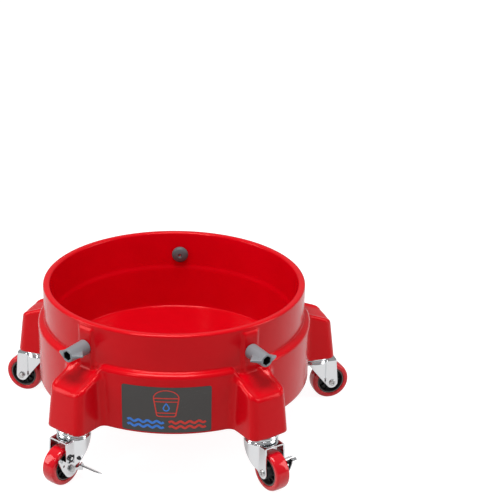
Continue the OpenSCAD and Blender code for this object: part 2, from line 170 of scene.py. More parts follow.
def lathe(profile: Sequence[Sequence[float]], steps: int, closed: bool) -> tuple[Points, list]:
    """Turns a profile of (radius, height) about z.

    Args:
        profile: the profile, with the solid on its left as it is walked.
        steps: points round the axis.
        closed: joins the profile's end to its start; otherwise both ends are on the axis.

    Returns:
        The points and the faces.
    """
    a = np.linspace(0, 2 * math.pi, steps, endpoint=False)
    rings = [np.stack([r * np.cos(a), r * np.sin(a), np.full(steps, z)], 1) for r, z in profile]
    if closed:
        return loft(rings, False, False, True)
    return loft(rings, True, True)


def rounded(profile: Sequence[Sequence[float]], radii: Sequence[float], steps: int = 4) -> list:
    """Rounds the corners of a path of (x, y).

    Args:
        profile: the path's corners.
        radii: each corner's radius, 0 to leave it sharp.
        steps: pieces in each rounded corner.

    Returns:
        The rounded path, as a closed one.
    """
    out = []
    n = len(profile)
    for i, (p, radius) in enumerate(zip(profile, radii)):
        p = np.array(p, float)
        if radius <= 0:
            out.append(tuple(p))
            continue
        a = np.array(profile[i - 1], float) - p
        b = np.array(profile[(i + 1) % n], float) - p
        la, lb = np.linalg.norm(a), np.linalg.norm(b)
        a, b = a / la, b / lb
        half = math.acos(max(-1.0, min(1.0, float(a @ b)))) / 2
        cut = min(radius / math.tan(half), la * 0.49, lb * 0.49)
        r = cut * math.tan(half)
        middle = p + (a + b) / np.linalg.norm(a + b) * (r / math.sin(half))
        start, end = p + a * cut - middle, p + b * cut - middle
        turn = math.atan2(start[0] * end[1] - start[1] * end[0], float(start @ end))
        for k in range(steps + 1):
            c, s = math.cos(turn * k / steps), math.sin(turn * k / steps)
            out.append(tuple(middle + np.array([start[0] * c - start[1] * s, start[0] * s + start[1] * c])))
    return out


def slab(outline: Sequence[Sequence[float]], thickness: float) -> bmesh.types.BMesh:
    """An outline in x and y, thickened from z = 0 upwards.

    Args:
        outline: the corners, anticlockwise.
        thickness: the height of the slab.

    Returns:
        The slab as a bmesh.
    """
    bm = bmesh.new()
    low = [bm.verts.new((x, y, 0.0)) for x, y in outline]
    high = [bm.verts.new((x, y, thickness)) for x, y in outline]
    bm.faces.new(list(reversed(low)))
    bm.faces.new(high)
    n = len(low)
    for i in range(n):
        bm.faces.new((low[i], low[(i + 1) % n], high[(i + 1) % n], high[i]))
    return bm


def from_bmesh(bm: bmesh.types.BMesh, name: str, place: Matrix) -> bpy.types.Mesh:
    """The bmesh as a smooth-shaded mesh, put in place, with its faces turned outwards."""
    bmesh.ops.recalc_face_normals(bm, faces=bm.faces)
    mesh = bpy.data.meshes.new(name)
    bm.to_mesh(mesh)
    bm.free()
    mesh.transform(place)
    mesh.polygons.foreach_set("use_smooth", [True] * len(mesh.polygons))
    return mesh


def node_copy(node: str) -> bpy.types.Mesh:
    """A merged copy of a CAD node's mesh, with its flat faces joined up."""
    bm = bmesh.new()
    bm.from_mesh(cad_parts[node].data)
    bmesh.ops.remove_doubles(bm, verts=bm.verts, dist=2e-6)
    bmesh.ops.dissolve_degenerate(bm, edges=bm.edges, dist=1e-7)
    bmesh.ops.dissolve_limit(bm, angle_limit=math.radians(0.6), verts=bm.verts, edges=bm.edges)
    mesh = bpy.data.meshes.new(node + "_shape")
    bm.to_mesh(mesh)
    bm.free()
    mesh.polygons.foreach_set("use_smooth", [True] * len(mesh.polygons))
    return mesh


# ---------------------------------------------------------------- geometry nodes


class NodeSheet:
    """A node tree with short calls for adding and joining nodes."""

    def __init__(self, tree: bpy.types.NodeTree) -> None:
        """Takes the tree to write in."""
        self.tree = tree

    def add(self, kind: str, **values: object) -> bpy.types.Node:
        """Adds a node.

        Args:
            kind: the node's type name.
            values: properties, or inputs where the name isn't a property.

        Returns:
            The node.
        """
        node = self.tree.nodes.new(kind)
        for key, value in values.items():
            if hasattr(node, key):
                setattr(node, key, value)
            else:
                node.inputs[key.replace("_", " ")].default_value = value
        return node

    def join(self, start: bpy.types.NodeSocket, end: bpy.types.NodeSocket) -> None:
        """Links an output to an input."""
        self.tree.links.new(start, end)

    def math(self, operation: str, a: object, b: object = 0.0, c: object = 0.0) -> bpy.types.NodeSocket:
        """A Math node on sockets or numbers.

        Args:
            operation: the node's operation.
            a: the first value.
            b: the second value.
            c: the third value.

        Returns:
            The node's output.
        """
        kind = "ShaderNodeMath"
        node = self.add(kind, operation=operation)
        for socket, value in zip(node.inputs, (a, b, c)):
            if isinstance(value, bpy.types.NodeSocket):
                self.join(value, socket)
            else:
                socket.default_value = value
        return node.outputs[0]


class RingTree:
    """Geometry nodes that repeat the object's own mesh round the z axis."""

    def __init__(self) -> None:
        """Builds the tree."""
        tree = bpy.data.node_groups.new("ring_of_items", "GeometryNodeTree")
        tree.is_modifier = True
        for name, kind, way in (
            ("Item", "NodeSocketGeometry", "INPUT"),
            ("Count", "NodeSocketInt", "INPUT"),
            ("Radius", "NodeSocketFloat", "INPUT"),
            ("Material", "NodeSocketMaterial", "INPUT"),
            ("Ring", "NodeSocketGeometry", "OUTPUT"),
        ):
            tree.interface.new_socket(name=name, in_out=way, socket_type=kind)
        sheet = NodeSheet(tree)
        given, result = sheet.add("NodeGroupInput"), sheet.add("NodeGroupOutput")
        circle = sheet.add("GeometryNodeMeshCircle")
        sheet.join(given.outputs["Count"], circle.inputs["Vertices"])
        sheet.join(given.outputs["Radius"], circle.inputs["Radius"])
        index = sheet.add("GeometryNodeInputIndex")
        share = sheet.math("DIVIDE", math.tau, given.outputs["Count"])
        angle = sheet.math("MULTIPLY", index.outputs[0], share)
        vector = sheet.add("ShaderNodeCombineXYZ")
        sheet.join(angle, vector.inputs["Z"])
        turn = sheet.add("FunctionNodeEulerToRotation")
        sheet.join(vector.outputs[0], turn.inputs[0])
        put = sheet.add("GeometryNodeInstanceOnPoints")
        sheet.join(circle.outputs["Mesh"], put.inputs["Points"])
        sheet.join(given.outputs["Item"], put.inputs["Instance"])
        sheet.join(turn.outputs[0], put.inputs["Rotation"])
        real = sheet.add("GeometryNodeRealizeInstances")
        sheet.join(put.outputs[0], real.inputs[0])
        dress = sheet.add("GeometryNodeSetMaterial")
        sheet.join(real.outputs[0], dress.inputs["Geometry"])
        sheet.join(given.outputs["Material"], dress.inputs["Material"])
        sheet.join(dress.outputs[0], result.inputs[0])
        self.tree = tree


class CoilTree:
    """Geometry nodes that draw a round wire along a helix on the z axis."""

    def __init__(self) -> None:
        """Builds the tree."""
        tree = bpy.data.node_groups.new("wire_coil", "GeometryNodeTree")
        tree.is_modifier = True
        for name, kind, way in (
            ("Turns", "NodeSocketFloat", "INPUT"),
            ("Radius", "NodeSocketFloat", "INPUT"),
            ("Length", "NodeSocketFloat", "INPUT"),
            ("Wire Radius", "NodeSocketFloat", "INPUT"),
            ("Material", "NodeSocketMaterial", "INPUT"),
            ("Coil", "NodeSocketGeometry", "OUTPUT"),
        ):
            tree.interface.new_socket(name=name, in_out=way, socket_type=kind)
        sheet = NodeSheet(tree)
        given, result = sheet.add("NodeGroupInput"), sheet.add("NodeGroupOutput")
        path = sheet.add("GeometryNodeCurveSpiral")
        path.inputs["Resolution"].default_value = 28
        sheet.join(given.outputs["Turns"], path.inputs["Rotations"])
        sheet.join(given.outputs["Radius"], path.inputs["Start Radius"])
        sheet.join(given.outputs["Radius"], path.inputs["End Radius"])
        sheet.join(given.outputs["Length"], path.inputs["Height"])
        wire = sheet.add("GeometryNodeCurvePrimitiveCircle")
        wire.inputs["Resolution"].default_value = 8
        sheet.join(given.outputs["Wire Radius"], wire.inputs["Radius"])
        sweep = sheet.add("GeometryNodeCurveToMesh")
        sweep.inputs["Fill Caps"].default_value = True
        sheet.join(path.outputs[0], sweep.inputs["Curve"])
        sheet.join(wire.outputs[0], sweep.inputs["Profile Curve"])
        real = sheet.add("GeometryNodeRealizeInstances")
        sheet.join(sweep.outputs[0], real.inputs[0])
        dress = sheet.add("GeometryNodeSetMaterial")
        sheet.join(real.outputs[0], dress.inputs["Geometry"])
        sheet.join(given.outputs["Material"], dress.inputs["Material"])
        sheet.join(dress.outputs[0], result.inputs[0])
        self.tree = tree


def run_tree(tree: bpy.types.NodeTree, mesh: bpy.types.Mesh, place: Matrix,
        **values: object) -> bpy.types.Mesh:
    """Runs a geometry node tree once and keeps what it makes.

    Args:
        tree: the tree.
        mesh: the mesh that the tree is given.
        place: the matrix that puts the result in the row frame.
        values: the tree's inputs by name, with spaces as underscores.

    Returns:
        The result as a plain mesh.
    """
    holder = bpy.data.objects.new("tree_holder", mesh)
    bpy.context.scene.collection.objects.link(holder)
    modifier = holder.modifiers.new("tree", "NODES")
    modifier.node_group = tree
    for item in tree.interface.items_tree:
        if item.in_out == "INPUT" and item.name.replace(" ", "_") in values:
            modifier[item.identifier] = values[item.name.replace(" ", "_")]
    graph = bpy.context.evaluated_depsgraph_get()
    made = bpy.data.meshes.new_from_object(
        holder.evaluated_get(graph), preserve_all_data_layers=True, depsgraph=graph
    )
    bpy.data.objects.remove(holder)
    made.transform(place)
    made.polygons.foreach_set("use_smooth", [True] * len(made.polygons))
    return made


# ---------------------------------------------------------------- shader groups


class ShaderGroups:
    """The effects that several materials share."""

    def __init__(self) -> None:
        """Builds each group once."""
        self.grain = self._group(
            "mould_grain",
            (("Vector", "NodeSocketVector"), ("Scale", "NodeSocketFloat"), ("Waviness", "NodeSocketFloat")),
            (("Height", "NodeSocketFloat"), ("Cloud", "NodeSocketFloat")),
            self._write_grain,
        )
        self.marks = self._group(
            "handling_marks",
            (("Vector", "NodeSocketVector"), ("Scale", "NodeSocketFloat"), ("Amount", "NodeSocketFloat")),
            (("Mask", "NodeSocketFloat"),),
            self._write_marks,
        )
        self.dust = self._group(
            "settled_dust",
            (("Vector", "NodeSocketVector"), ("Normal", "NodeSocketVector"), ("Amount", "NodeSocketFloat")),
            (("Mask", "NodeSocketFloat"),),
            self._write_dust,
        )

    @staticmethod
    def _group(name: str, inputs: tuple, outputs: tuple, write: Callable) -> bpy.types.NodeTree:
        """Makes a shader group with named sockets and fills it.

        Args:
            name: the group's name.
            inputs: name and type of each input.
            outputs: name and type of each output.
            write: fills the group, given the sheet and its two end nodes.

        Returns:
            The group.
        """
        tree = bpy.data.node_groups.new(name, "ShaderNodeTree")
        for socket, kind in inputs:
            tree.interface.new_socket(name=socket, in_out="INPUT", socket_type=kind)
        for socket, kind in outputs:
            tree.interface.new_socket(name=socket, in_out="OUTPUT", socket_type=kind)
        sheet = NodeSheet(tree)
        write(sheet, sheet.add("NodeGroupInput"), sheet.add("NodeGroupOutput"))
        return tree

    @staticmethod
    def _write_grain(sheet: NodeSheet, given: bpy.types.Node, result: bpy.types.Node) -> None:
        """Fine pebbled grain over slow waves, as a moulded wall has."""
        fine = sheet.add("ShaderNodeTexNoise", Detail=3.0, Roughness=0.6)
        slow = sheet.add("ShaderNodeTexNoise", Detail=2.0, Roughness=0.5)
        sheet.join(given.outputs["Vector"], fine.inputs["Vector"])
        sheet.join(given.outputs["Vector"], slow.inputs["Vector"])
        sheet.join(given.outputs["Scale"], fine.inputs["Scale"])
        sheet.join(sheet.math("DIVIDE", given.outputs["Scale"], 60.0), slow.inputs["Scale"])
        waves = sheet.math("MULTIPLY", slow.outputs[0], given.outputs["Waviness"])
        sheet.join(sheet.math("ADD", fine.outputs[0], waves), result.inputs["Height"])
        sheet.join(slow.outputs[0], result.inputs["Cloud"])

    @staticmethod
    def _write_marks(sheet: NodeSheet, given: bpy.types.Node, result: bpy.types.Node) -> None:
        """Thin scuffs, in patches, that lie every way."""
        stretch = sheet.add("ShaderNodeMapping")
        stretch.inputs["Scale"].default_value = (1.0, 0.35, 9.0)
        stretch.inputs["Rotation"].default_value = (0.4, 0.9, 0.3)
        sheet.join(given.outputs["Vector"], stretch.inputs["Vector"])
        lines = sheet.add("ShaderNodeTexNoise", Detail=4.0, Roughness=0.7)
        sheet.join(stretch.outputs[0], lines.inputs["Vector"])
        sheet.join(given.outputs["Scale"], lines.inputs["Scale"])
        patch = sheet.add("ShaderNodeTexNoise", Detail=2.0)
        sheet.join(given.outputs["Vector"], patch.inputs["Vector"])
        sheet.join(sheet.math("DIVIDE", given.outputs["Scale"], 8.0), patch.inputs["Scale"])
        sharp = sheet.add("ShaderNodeMapRange", clamp=True)
        sharp.inputs["From Min"].default_value = 0.60
        sharp.inputs["From Max"].default_value = 0.72
        sheet.join(lines.outputs[0], sharp.inputs["Value"])
        where = sheet.add("ShaderNodeMapRange", clamp=True)
        where.inputs["From Min"].default_value = 0.45
        where.inputs["From Max"].default_value = 0.7
        sheet.join(patch.outputs[0], where.inputs["Value"])
        both = sheet.math("MULTIPLY", sharp.outputs[0], where.outputs[0])
        sheet.join(sheet.math("MULTIPLY", both, given.outputs["Amount"]), result.inputs["Mask"])

    @staticmethod
    def _write_dust(sheet: NodeSheet, given: bpy.types.Node, result: bpy.types.Node) -> None:
        """A thin film on what faces up."""
        part = sheet.add("ShaderNodeSeparateXYZ")
        sheet.join(given.outputs["Normal"], part.inputs[0])
        up = sheet.math("POWER", sheet.math("MAXIMUM", part.outputs["Z"], 0.0), 2.0)
        cloud = sheet.add("ShaderNodeTexNoise", Scale=40.0, Detail=5.0, Roughness=0.65)
        sheet.join(given.outputs["Vector"], cloud.inputs["Vector"])
        film = sheet.math("MULTIPLY", up, cloud.outputs[0])
        sheet.join(sheet.math("MULTIPLY", film, given.outputs["Amount"]), result.inputs["Mask"])


# ---------------------------------------------------------------- finishes


def rgba(red: float, green: float, blue: float) -> RGBA:
    """A linear colour with full alpha."""
    return (red, green, blue, 1.0)


@dataclass(frozen=True)
class Finish:
    """A finish whose material is made once, from the shared groups.

    Attributes:
        name: the material's name.
        colour: the main colour, linear.
        shade: the colour that the main one drifts towards.
        roughness: the surface's roughness.
        rough_drift: how far the roughness wanders.
        metallic: 1 for metal.
        specular: the specular level.
        tint: the colour of its reflections seen square on.
        coat: weight of a clear coat.
        grain_scale: how fine the grain is.
        grain_depth: how deep the grain is, in metres.
        waviness: weight of the slow waves in the grain.
        marks: how strongly scuffs show.
        dust: how strongly dust shows.
    """

    name: str
    colour: RGBA
    shade: RGBA
    roughness: float
    rough_drift: float = 0.1
    metallic: float = 0.0
    specular: float = 0.5
    tint: RGBA = (1.0, 1.0, 1.0, 1.0)
    coat: float = 0.0
    grain_scale: float = 1200.0
    grain_depth: float = 0.00002
    waviness: float = 0.0
    marks: float = 0.3
    dust: float = 0.0

    def make(self, groups: ShaderGroups) -> bpy.types.Material:
        """Builds the material.

        Args:
            groups: the shared shader groups.

        Returns:
            The material.
        """
        material = bpy.data.materials.new(self.name)
        material.use_nodes = True
        material.node_tree.nodes.clear()
        sheet = NodeSheet(material.node_tree)
        place = sheet.add("ShaderNodeTexCoord").outputs["Object"]
        normal = sheet.add("ShaderNodeNewGeometry").outputs["Normal"]
        grain = sheet.add("ShaderNodeGroup", node_tree=groups.grain)
        grain.inputs["Scale"].default_value = self.grain_scale
        grain.inputs["Waviness"].default_value = self.waviness
        marks = sheet.add("ShaderNodeGroup", node_tree=groups.marks)
        marks.inputs["Scale"].default_value = 90.0
        marks.inputs["Amount"].default_value = self.marks
        dust = sheet.add("ShaderNodeGroup", node_tree=groups.dust)
        dust.inputs["Amount"].default_value = self.dust
        for group in (grain, marks, dust):
            sheet.join(place, group.inputs["Vector"])
        sheet.join(normal, dust.inputs["Normal"])
        drift = sheet.add("ShaderNodeMix", data_type="RGBA")
        drift.inputs["A"].default_value = self.colour
        drift.inputs["B"].default_value = self.shade
        sheet.join(grain.outputs["Cloud"], drift.inputs["Factor"])
        film = sheet.add("ShaderNodeMix", data_type="RGBA")
        film.inputs["B"].default_value = rgba(0.55, 0.5, 0.46)
        sheet.join(drift.outputs["Result"], film.inputs["A"])
        sheet.join(dust.outputs["Mask"], film.inputs["Factor"])
        wander = sheet.math("MULTIPLY_ADD", grain.outputs["Cloud"], self.rough_drift, self.roughness)
        rough = sheet.math("MULTIPLY_ADD", marks.outputs["Mask"], 0.35, wander)
        bump = sheet.add("ShaderNodeBump", Distance=self.grain_depth, Strength=1.0)
        sheet.join(grain.outputs["Height"], bump.inputs["Height"])
        skin = sheet.add("ShaderNodeBsdfPrincipled", Metallic=self.metallic)
        skin.inputs["Specular IOR Level"].default_value = self.specular
        skin.inputs["Specular Tint"].default_value = self.tint
        skin.inputs["Coat Weight"].default_value = self.coat
        skin.inputs["Coat Roughness"].default_value = 0.04
        sheet.join(film.outputs["Result"], skin.inputs["Base Color"])
        sheet.join(rough, skin.inputs["Roughness"])
        sheet.join(bump.outputs[0], skin.inputs["Normal"])
        out = sheet.add("ShaderNodeOutputMaterial")
        sheet.join(skin.outputs[0], out.inputs["Surface"])
        return material


class Finishes:
    """Every finish on the object."""

    tray = Finish(
        "moulded_red", rgba(0.58, 0.0, 0.006), rgba(0.5, 0.0, 0.004), 0.17, 0.06,
        specular=0.5, tint=rgba(1.0, 0.26, 0.24), grain_scale=1500.0, grain_depth=0.000008,
        waviness=2.0, marks=0.2, dust=0.004,
    )
    label = Finish(
        "label_panel", rgba(0.036, 0.033, 0.031), rgba(0.05, 0.046, 0.043), 0.2, 0.08,
        specular=0.4, grain_scale=900.0, grain_depth=0.000006, marks=0.3, dust=0.01,
    )
    print_red = Finish(
        "label_red", rgba(0.66, 0.035, 0.025), rgba(0.56, 0.03, 0.02), 0.3,
        specular=0.3, grain_depth=0.000004, marks=0.2,
    )
    print_blue = Finish(
        "label_blue", rgba(0.045, 0.22, 0.72), rgba(0.035, 0.17, 0.6), 0.3,
        specular=0.3, grain_depth=0.000004, marks=0.2,
    )
    chrome = Finish(
        "chrome_plate", rgba(0.76, 0.775, 0.785), rgba(0.68, 0.695, 0.71), 0.09, 0.08,
        metallic=1.0, grain_scale=350.0, grain_depth=0.000004, waviness=2.0, marks=0.25,
    )
    steel = Finish(
        "zinc_steel", rgba(0.56, 0.56, 0.555), rgba(0.45, 0.45, 0.45), 0.26, 0.12,
        metallic=1.0, grain_scale=900.0, grain_depth=0.00001, marks=0.5,
    )
    ball = Finish(
        "ball_steel", rgba(0.7, 0.7, 0.72), rgba(0.6, 0.6, 0.62), 0.08, 0.04, metallic=1.0, marks=0.1,
    )
    brass = Finish(
        "bush_brass", rgba(0.72, 0.5, 0.2), rgba(0.6, 0.4, 0.16), 0.22, 0.1, metallic=1.0, marks=0.3,
    )
    dark = Finish(
        "dark_spring", rgba(0.07, 0.07, 0.075), rgba(0.045, 0.045, 0.05), 0.3, 0.1, metallic=1.0, marks=0.3,
    )
    hub = Finish(
        "hub_black", rgba(0.010, 0.010, 0.011), rgba(0.007, 0.007, 0.008), 0.34, 0.12,
        specular=0.3, grain_scale=1400.0, grain_depth=0.00002, marks=0.3, dust=0.02,
    )
    hub_edge = Finish(
        "hub_edge_grey", rgba(0.12, 0.098, 0.088), rgba(0.09, 0.073, 0.066), 0.4, 0.1,
        specular=0.3, grain_scale=1400.0, grain_depth=0.00002, marks=0.3, dust=0.02,
    )
    tread = Finish(
        "tread_red", rgba(0.62, 0.001, 0.010), rgba(0.52, 0.001, 0.008), 0.1, 0.06,
        specular=0.5, tint=rgba(1.0, 0.2, 0.18), coat=0.6, grain_scale=800.0, grain_depth=0.000006,
        waviness=2.0, marks=0.4, dust=0.01,
    )
    knob = Finish(
        "knob_grey", rgba(0.2, 0.214, 0.23), rgba(0.155, 0.168, 0.182), 0.32, 0.12,
        specular=0.45, grain_scale=1300.0, grain_depth=0.00003, waviness=1.0, marks=0.5, dust=0.04,
    )
    # painted shade: near-black finish for the lining of each knob's hex socket, standing in for the deep hole's shade
    # and partly for the dark screw end inside it
    socket = Finish(
        "socket_dark", rgba(0.012, 0.012, 0.014), rgba(0.008, 0.008, 0.01), 0.5, 0.1,
        specular=0.2, grain_depth=0.00001, marks=0.1,
    )
    foot = Finish(
        "foot_grey", rgba(0.085, 0.09, 0.098), rgba(0.065, 0.07, 0.076), 0.42, 0.1,
        specular=0.45, grain_scale=1300.0, grain_depth=0.00003, marks=0.4, dust=0.05,
    )


class Workshop:
    """Keeps the materials and trees, and finishes each piece."""

    def __init__(self) -> None:
        """Builds the shared groups and trees."""
        self.groups = ShaderGroups()
        self.ring = RingTree().tree
        self.coil = CoilTree().tree
        self._materials: dict[str, bpy.types.Material] = {}

    def material(self, finish: Finish) -> bpy.types.Material:
        """The finish's material, made on first use."""
        if finish.name not in self._materials:
            self._materials[finish.name] = finish.make(self.groups)
        return self._materials[finish.name]

    def piece(
        self,
        name: str,
        mesh: bpy.types.Mesh,
        body: str,
        finish: Finish,
        stands_for: Sequence[str] = (),
        edge: float = 0.0,
        crease: float = 35.0,
    ) -> bpy.types.Object:
        """Makes a mesh a piece of the object.

        Args:
            name: the piece's name.
            mesh: its mesh, already in place.
            body: the body that it rides on.
            finish: its finish.
            stands_for: the CAD nodes that it replaces.
            edge: width of the rounding on its edges, in mm, 0 for none.
            crease: the angle past which an edge is rounded or kept sharp, in degrees.

        Returns:
            The object.
        """
        mesh.name = name
        mesh.materials.clear()
        mesh.materials.append(self.material(finish))
        obj = bpy.data.objects.new(name, mesh)
        bpy.context.scene.collection.objects.link(obj)
        if edge > 0:
            bevel = obj.modifiers.new("edge", "BEVEL")
            bevel.width = edge * MM
            bevel.segments = 2
            bevel.limit_method = "ANGLE"
            bevel.angle_limit = math.radians(crease)
            bevel.use_clamp_overlap = True
            bevel.miter_outer = "MITER_ARC"
            even = obj.modifiers.new("even", "WEIGHTED_NORMAL")
            even.keep_sharp = True
            even.weight = 80
        else:
            mesh.set_sharp_from_angle(angle=math.radians(crease))
        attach(obj, body)
        if stands_for:
            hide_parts(*stands_for)
        LOG.info("piece %s on %s: %d faces", name, body, len(mesh.polygons))
        return obj

    def dress_node(self, node: str, finish: Finish) -> None:
        """Gives a CAD node that stays in view its finish."""
        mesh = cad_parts[node].data
        mesh.materials.clear()
        mesh.materials.append(self.material(finish))


# ---------------------------------------------------------------- tray


def round_cut(a: Points, b: Points, radius: float) -> Points:
    """Distance to what is inside both a and b, with the edge between them rounded."""
    low = np.minimum(np.maximum(a + radius, b + radius), 0.0)
    return low + np.hypot(np.maximum(a + radius, 0), np.maximum(b + radius, 0)) - radius


def round_join(a: Points, b: Points, radius: float) -> Points:
    """Distance to what is inside a or b, with a fillet between them."""
    return -round_cut(-a, -b, radius)


@dataclass
class Tray:
    """The moulded tray: ring, shoulder, five pods, floor and ribs. Sizes in mm."""

    rim_r: float = 156.0
    band_r: float = 164.6
    skirt_r: float = 172.7
    height: float = 126.0
    rim_round: float = 2.8
    shoulder_h: float = 78.0
    shoulder_round: float = 5.8
    shoulder_root: float = 2.4
    floor_r: float = 149.6
    floor_under: float = 15.1
    wall: float = 4.0
    pod_r_foot: float = 213.5
    pod_r_top: float = 206.5
    pod_top_h: float = 52.0
    pod_slope: float = 20.0
    pod_half_w: float = 26.8
    pod_side_draft: float = 0.036
    pod_corner: float = 8.5
    pod_edge: float = 4.0
    pod_flare: float = 9.0
    ridge_h: float = 1.7
    ridge_from: float = 14.5
    ridge_to: float = 21.5
    notch_half_w: float = 17.0
    notch_spread: float = 0.55
    notch_round: float = 5.0
    restore: float = 2.4
    pad_r: float = 167.3
    pad_half_w: float = 9.0
    pad_top: float = 121.0
    pad_legs: tuple[int, ...] = (1, 2, 4)
    boss_r: float = 12.0
    socket_r: float = 8.0
    rib_t: float = 3.0
    rib_count: int = 10
    hub_ring_r: float = 24.0

    def ramp_z(self, r: Points) -> Points:
        """Height of a pod's sloping top at radius r."""
        return self.pod_top_h + (self.pod_r_top - r) * math.tan(math.radians(self.pod_slope))

    def seat_r(self, z: float) -> float:
        """Inside radius of the tray at height z."""
        step = 1.4
        share = min(max((z - self.shoulder_h + 5) / 8, 0.0), 1.0)
        share = share * share * (3 - 2 * share)
        return self.floor_r + 5.0 * (z - FLOOR_RISE) / (self.height - FLOOR_RISE) + step * share

    def outside(self, r: Points, phi: Points, z: Points, padded: bool) -> Points:
        """Distance from the tray's outer surface, negative inside.

        Args:
            r: distance from the tray's axis.
            phi: angle from the nearest leg.
            z: height above the skirt's edge.
            padded: whether the leg has a flat for a clamp screw.

        Returns:
            The distances.
        """
        t, u = np.abs(r * np.sin(phi)), r * np.cos(phi)
        skirt = round_cut(r - self.skirt_r, z - self.shoulder_h, self.shoulder_round)
        band = round_cut(r - self.band_r, z - self.height, self.rim_round)
        lean = math.atan2(self.pod_r_foot - self.pod_r_top, self.pod_top_h)
        face = (r - self.pod_r_foot + z * math.tan(lean)) * math.cos(lean)
        side = t - self.pod_half_w + self.pod_side_draft * z
        ridge = np.clip((t - self.ridge_from) / (self.ridge_to - self.ridge_from), 0, 1)
        ridge = self.ridge_h * ridge * ridge * (3 - 2 * ridge)
        top = (z - self.ramp_z(r) - ridge) * math.cos(math.radians(self.pod_slope))
        pod = round_cut(round_cut(face, side, self.pod_corner), top, self.pod_edge)
        body = round_join(skirt, pod, self.pod_flare)
        spread = t - self.notch_half_w - np.maximum(z - self.ramp_z(r), 0) * self.notch_spread
        notch = round_cut(round_cut(-top, spread * 0.87, 3.0), self.band_r - r, 1.0)
        body = round_cut(body, -notch, self.notch_round)
        near = np.maximum(self.restore - np.abs(body - pod), 0.0) / self.restore
        body = np.minimum(body, pod) - near * near * self.restore / 4
        body = round_join(body, band, self.shoulder_root)
        if padded:
            pad = round_cut(u - self.pad_r, (t - self.pad_half_w - 1.0) * 0.8, 2.0)
            pad = round_cut(pad, z - self.pad_top + np.maximum(u - self.band_r, 0) * 0.8, 2.0)
            body = round_join(body, pad, 3.0)
        return body

    def surface_r(self, phi: Points, z: Points, depth: float, padded: bool) -> Points:
        """The radius at which a ray from outside meets the surface, or a surface that deep inside it.

        Args:
            phi: the rays' angles from the leg.
            z: the rays' heights.
            depth: how far inside the outer surface.
            padded: whether the leg has a flat for a clamp screw.

        Returns:
            The radii.
        """
        r = np.full_like(phi, self.pod_r_foot + 4)
        for _ in range(260):
            gap = self.outside(r, phi, z, padded) + depth
            r = np.maximum(r - np.maximum(gap, 0) * 0.9, self.floor_r)
        return r

    @property
    def half_angles(self) -> Points:
        """Angles from a leg to half way to the next, close together where the pod's side is."""
        return np.radians(
            np.concatenate([
                [0, 1, 2, 2.6, 2.9, 3.1, 3.3, 3.6, 4.2, 4.8, 5.2, 5.6, 5.9],
                np.arange(6.1, 9.5, 0.18),
                [9.8, 10.2, 10.6, 11.1, 11.7, 12.4, 13.2],
                np.linspace(14.2, 36, 20),
            ])
        )

    def turned(self, rows: dict[bool, Points]) -> Points:
        """Spreads half-sector radii over the whole ring.

        Args:
            rows: radii on the half sector's angles, for a leg with and without a pad.

        Returns:
            The radii at every angle, leg by leg.
        """
        out = []
        for n in range(1, LEG_COUNT + 1):
            row = rows[n in self.pad_legs]
            out += [row[:0:-1], row[:-1]]
        return np.concatenate(out)

    @property
    def ring_angles(self) -> Points:
        """The angle from the front of every point on a ring."""
        half = self.half_angles
        out = []
        for n in range(1, LEG_COUNT + 1):
            turn = Leg(n).turn
            out += [turn - half[:0:-1], turn + half[:-1]]
        return np.concatenate(out)

    def ring(self, radii: Points, z: float) -> Points:
        """A ring of points at height z."""
        a = self.ring_angles
        radii = np.broadcast_to(radii, a.shape)
        return np.stack([radii * np.sin(a), -radii * np.cos(a), np.full_like(a, z)], 1)

    def wall_rings(self, heights: Sequence[float], depth: float) -> list[Points]:
        """Rings on the outer surface, or that deep inside it, at the given heights."""
        half = self.half_angles
        rings = []
        for z in heights:
            level = np.full_like(half, z)
            rows = {p: self.surface_r(half, level, depth, p and depth == 0) for p in (False, True)}
            rings.append(self.ring(self.turned(rows), z))
        return rings

    def shell(self) -> bpy.types.Mesh:
        """The tray's one closed skin."""
        heights = np.concatenate([
            [0.9, 4, 12, 22, 32, 40, 44], np.arange(46, 57, 0.7), np.arange(57.2, 82, 0.62),
            [82.6, 84, 88, 100, 112, 117], np.arange(118.5, 122.9, 0.55),
        ])
        outer = self.wall_rings(heights, 0.0)
        edge = outer[0].copy()
        edge[:, :2] *= 1 - 0.8 / np.hypot(edge[:, 0], edge[:, 1])[:, None]
        edge[:, 2] = 0.0
        half_way = outer[0].copy()
        half_way[:, :2] *= 1 - 0.25 / np.hypot(edge[:, 0], edge[:, 1])[:, None]
        half_way[:, 2] = 0.25
        rings = [edge, half_way] + outer
        turn = self.rim_round
        for a in np.radians(np.linspace(0, 90, 8)):
            rings.append(self.ring(self.band_r - turn + turn * math.cos(a),
                self.height - turn + turn * math.sin(a)))
        for a in np.radians(np.linspace(90, 180, 8)):
            rings.append(self.ring(self.rim_r + turn + turn * math.cos(a),
                self.height - turn + turn * math.sin(a)))
        for z in (118, 110, 100, 90, 84, 81.5, 80, 78.5, 77, 75.5, 74, 72.5, 71, 64, 50, 36, 26, 22.5):
            rings.append(self.ring(self.seat_r(z), z))
        for a in np.radians(np.linspace(20, 90, 5)):
            rings.append(self.ring(self.floor_r - 2.2 * (1 - math.cos(a)),
                FLOOR_RISE + 2.2 * (1 - math.sin(a))))
        rings += [self.ring(r, FLOOR_RISE) for r in (146.4, 144, 100, 50, 12)]
        under = [self.ring(r, self.floor_under) for r in (12, 60, 130, 147.4, 149.2)]
        under += [self.ring(self.floor_r, z) for z in (self.floor_under - 0.4, 12, 3.8)]
        under += [self.ring(self.floor_r + 0.8, 3.0), self.ring(self.floor_r + self.wall - 0.8, 3.0)]
        under += [self.ring(self.floor_r + self.wall, z) for z in (3.8, 20, 45)]
        under += [self.ring(self.floor_r + self.wall + 2, 65), self.ring(self.floor_r + self.wall + 3, 66)]
        inner = self.wall_rings([66, 64, 62, 59, 56, 53, 50, 47, 44, 40, 30, 16, 2], self.wall)
        under += inner
        foot = inner[-1].copy()
        foot[:, :2] *= 1 + 0.8 / np.hypot(foot[:, 0], foot[:, 1])[:, None]
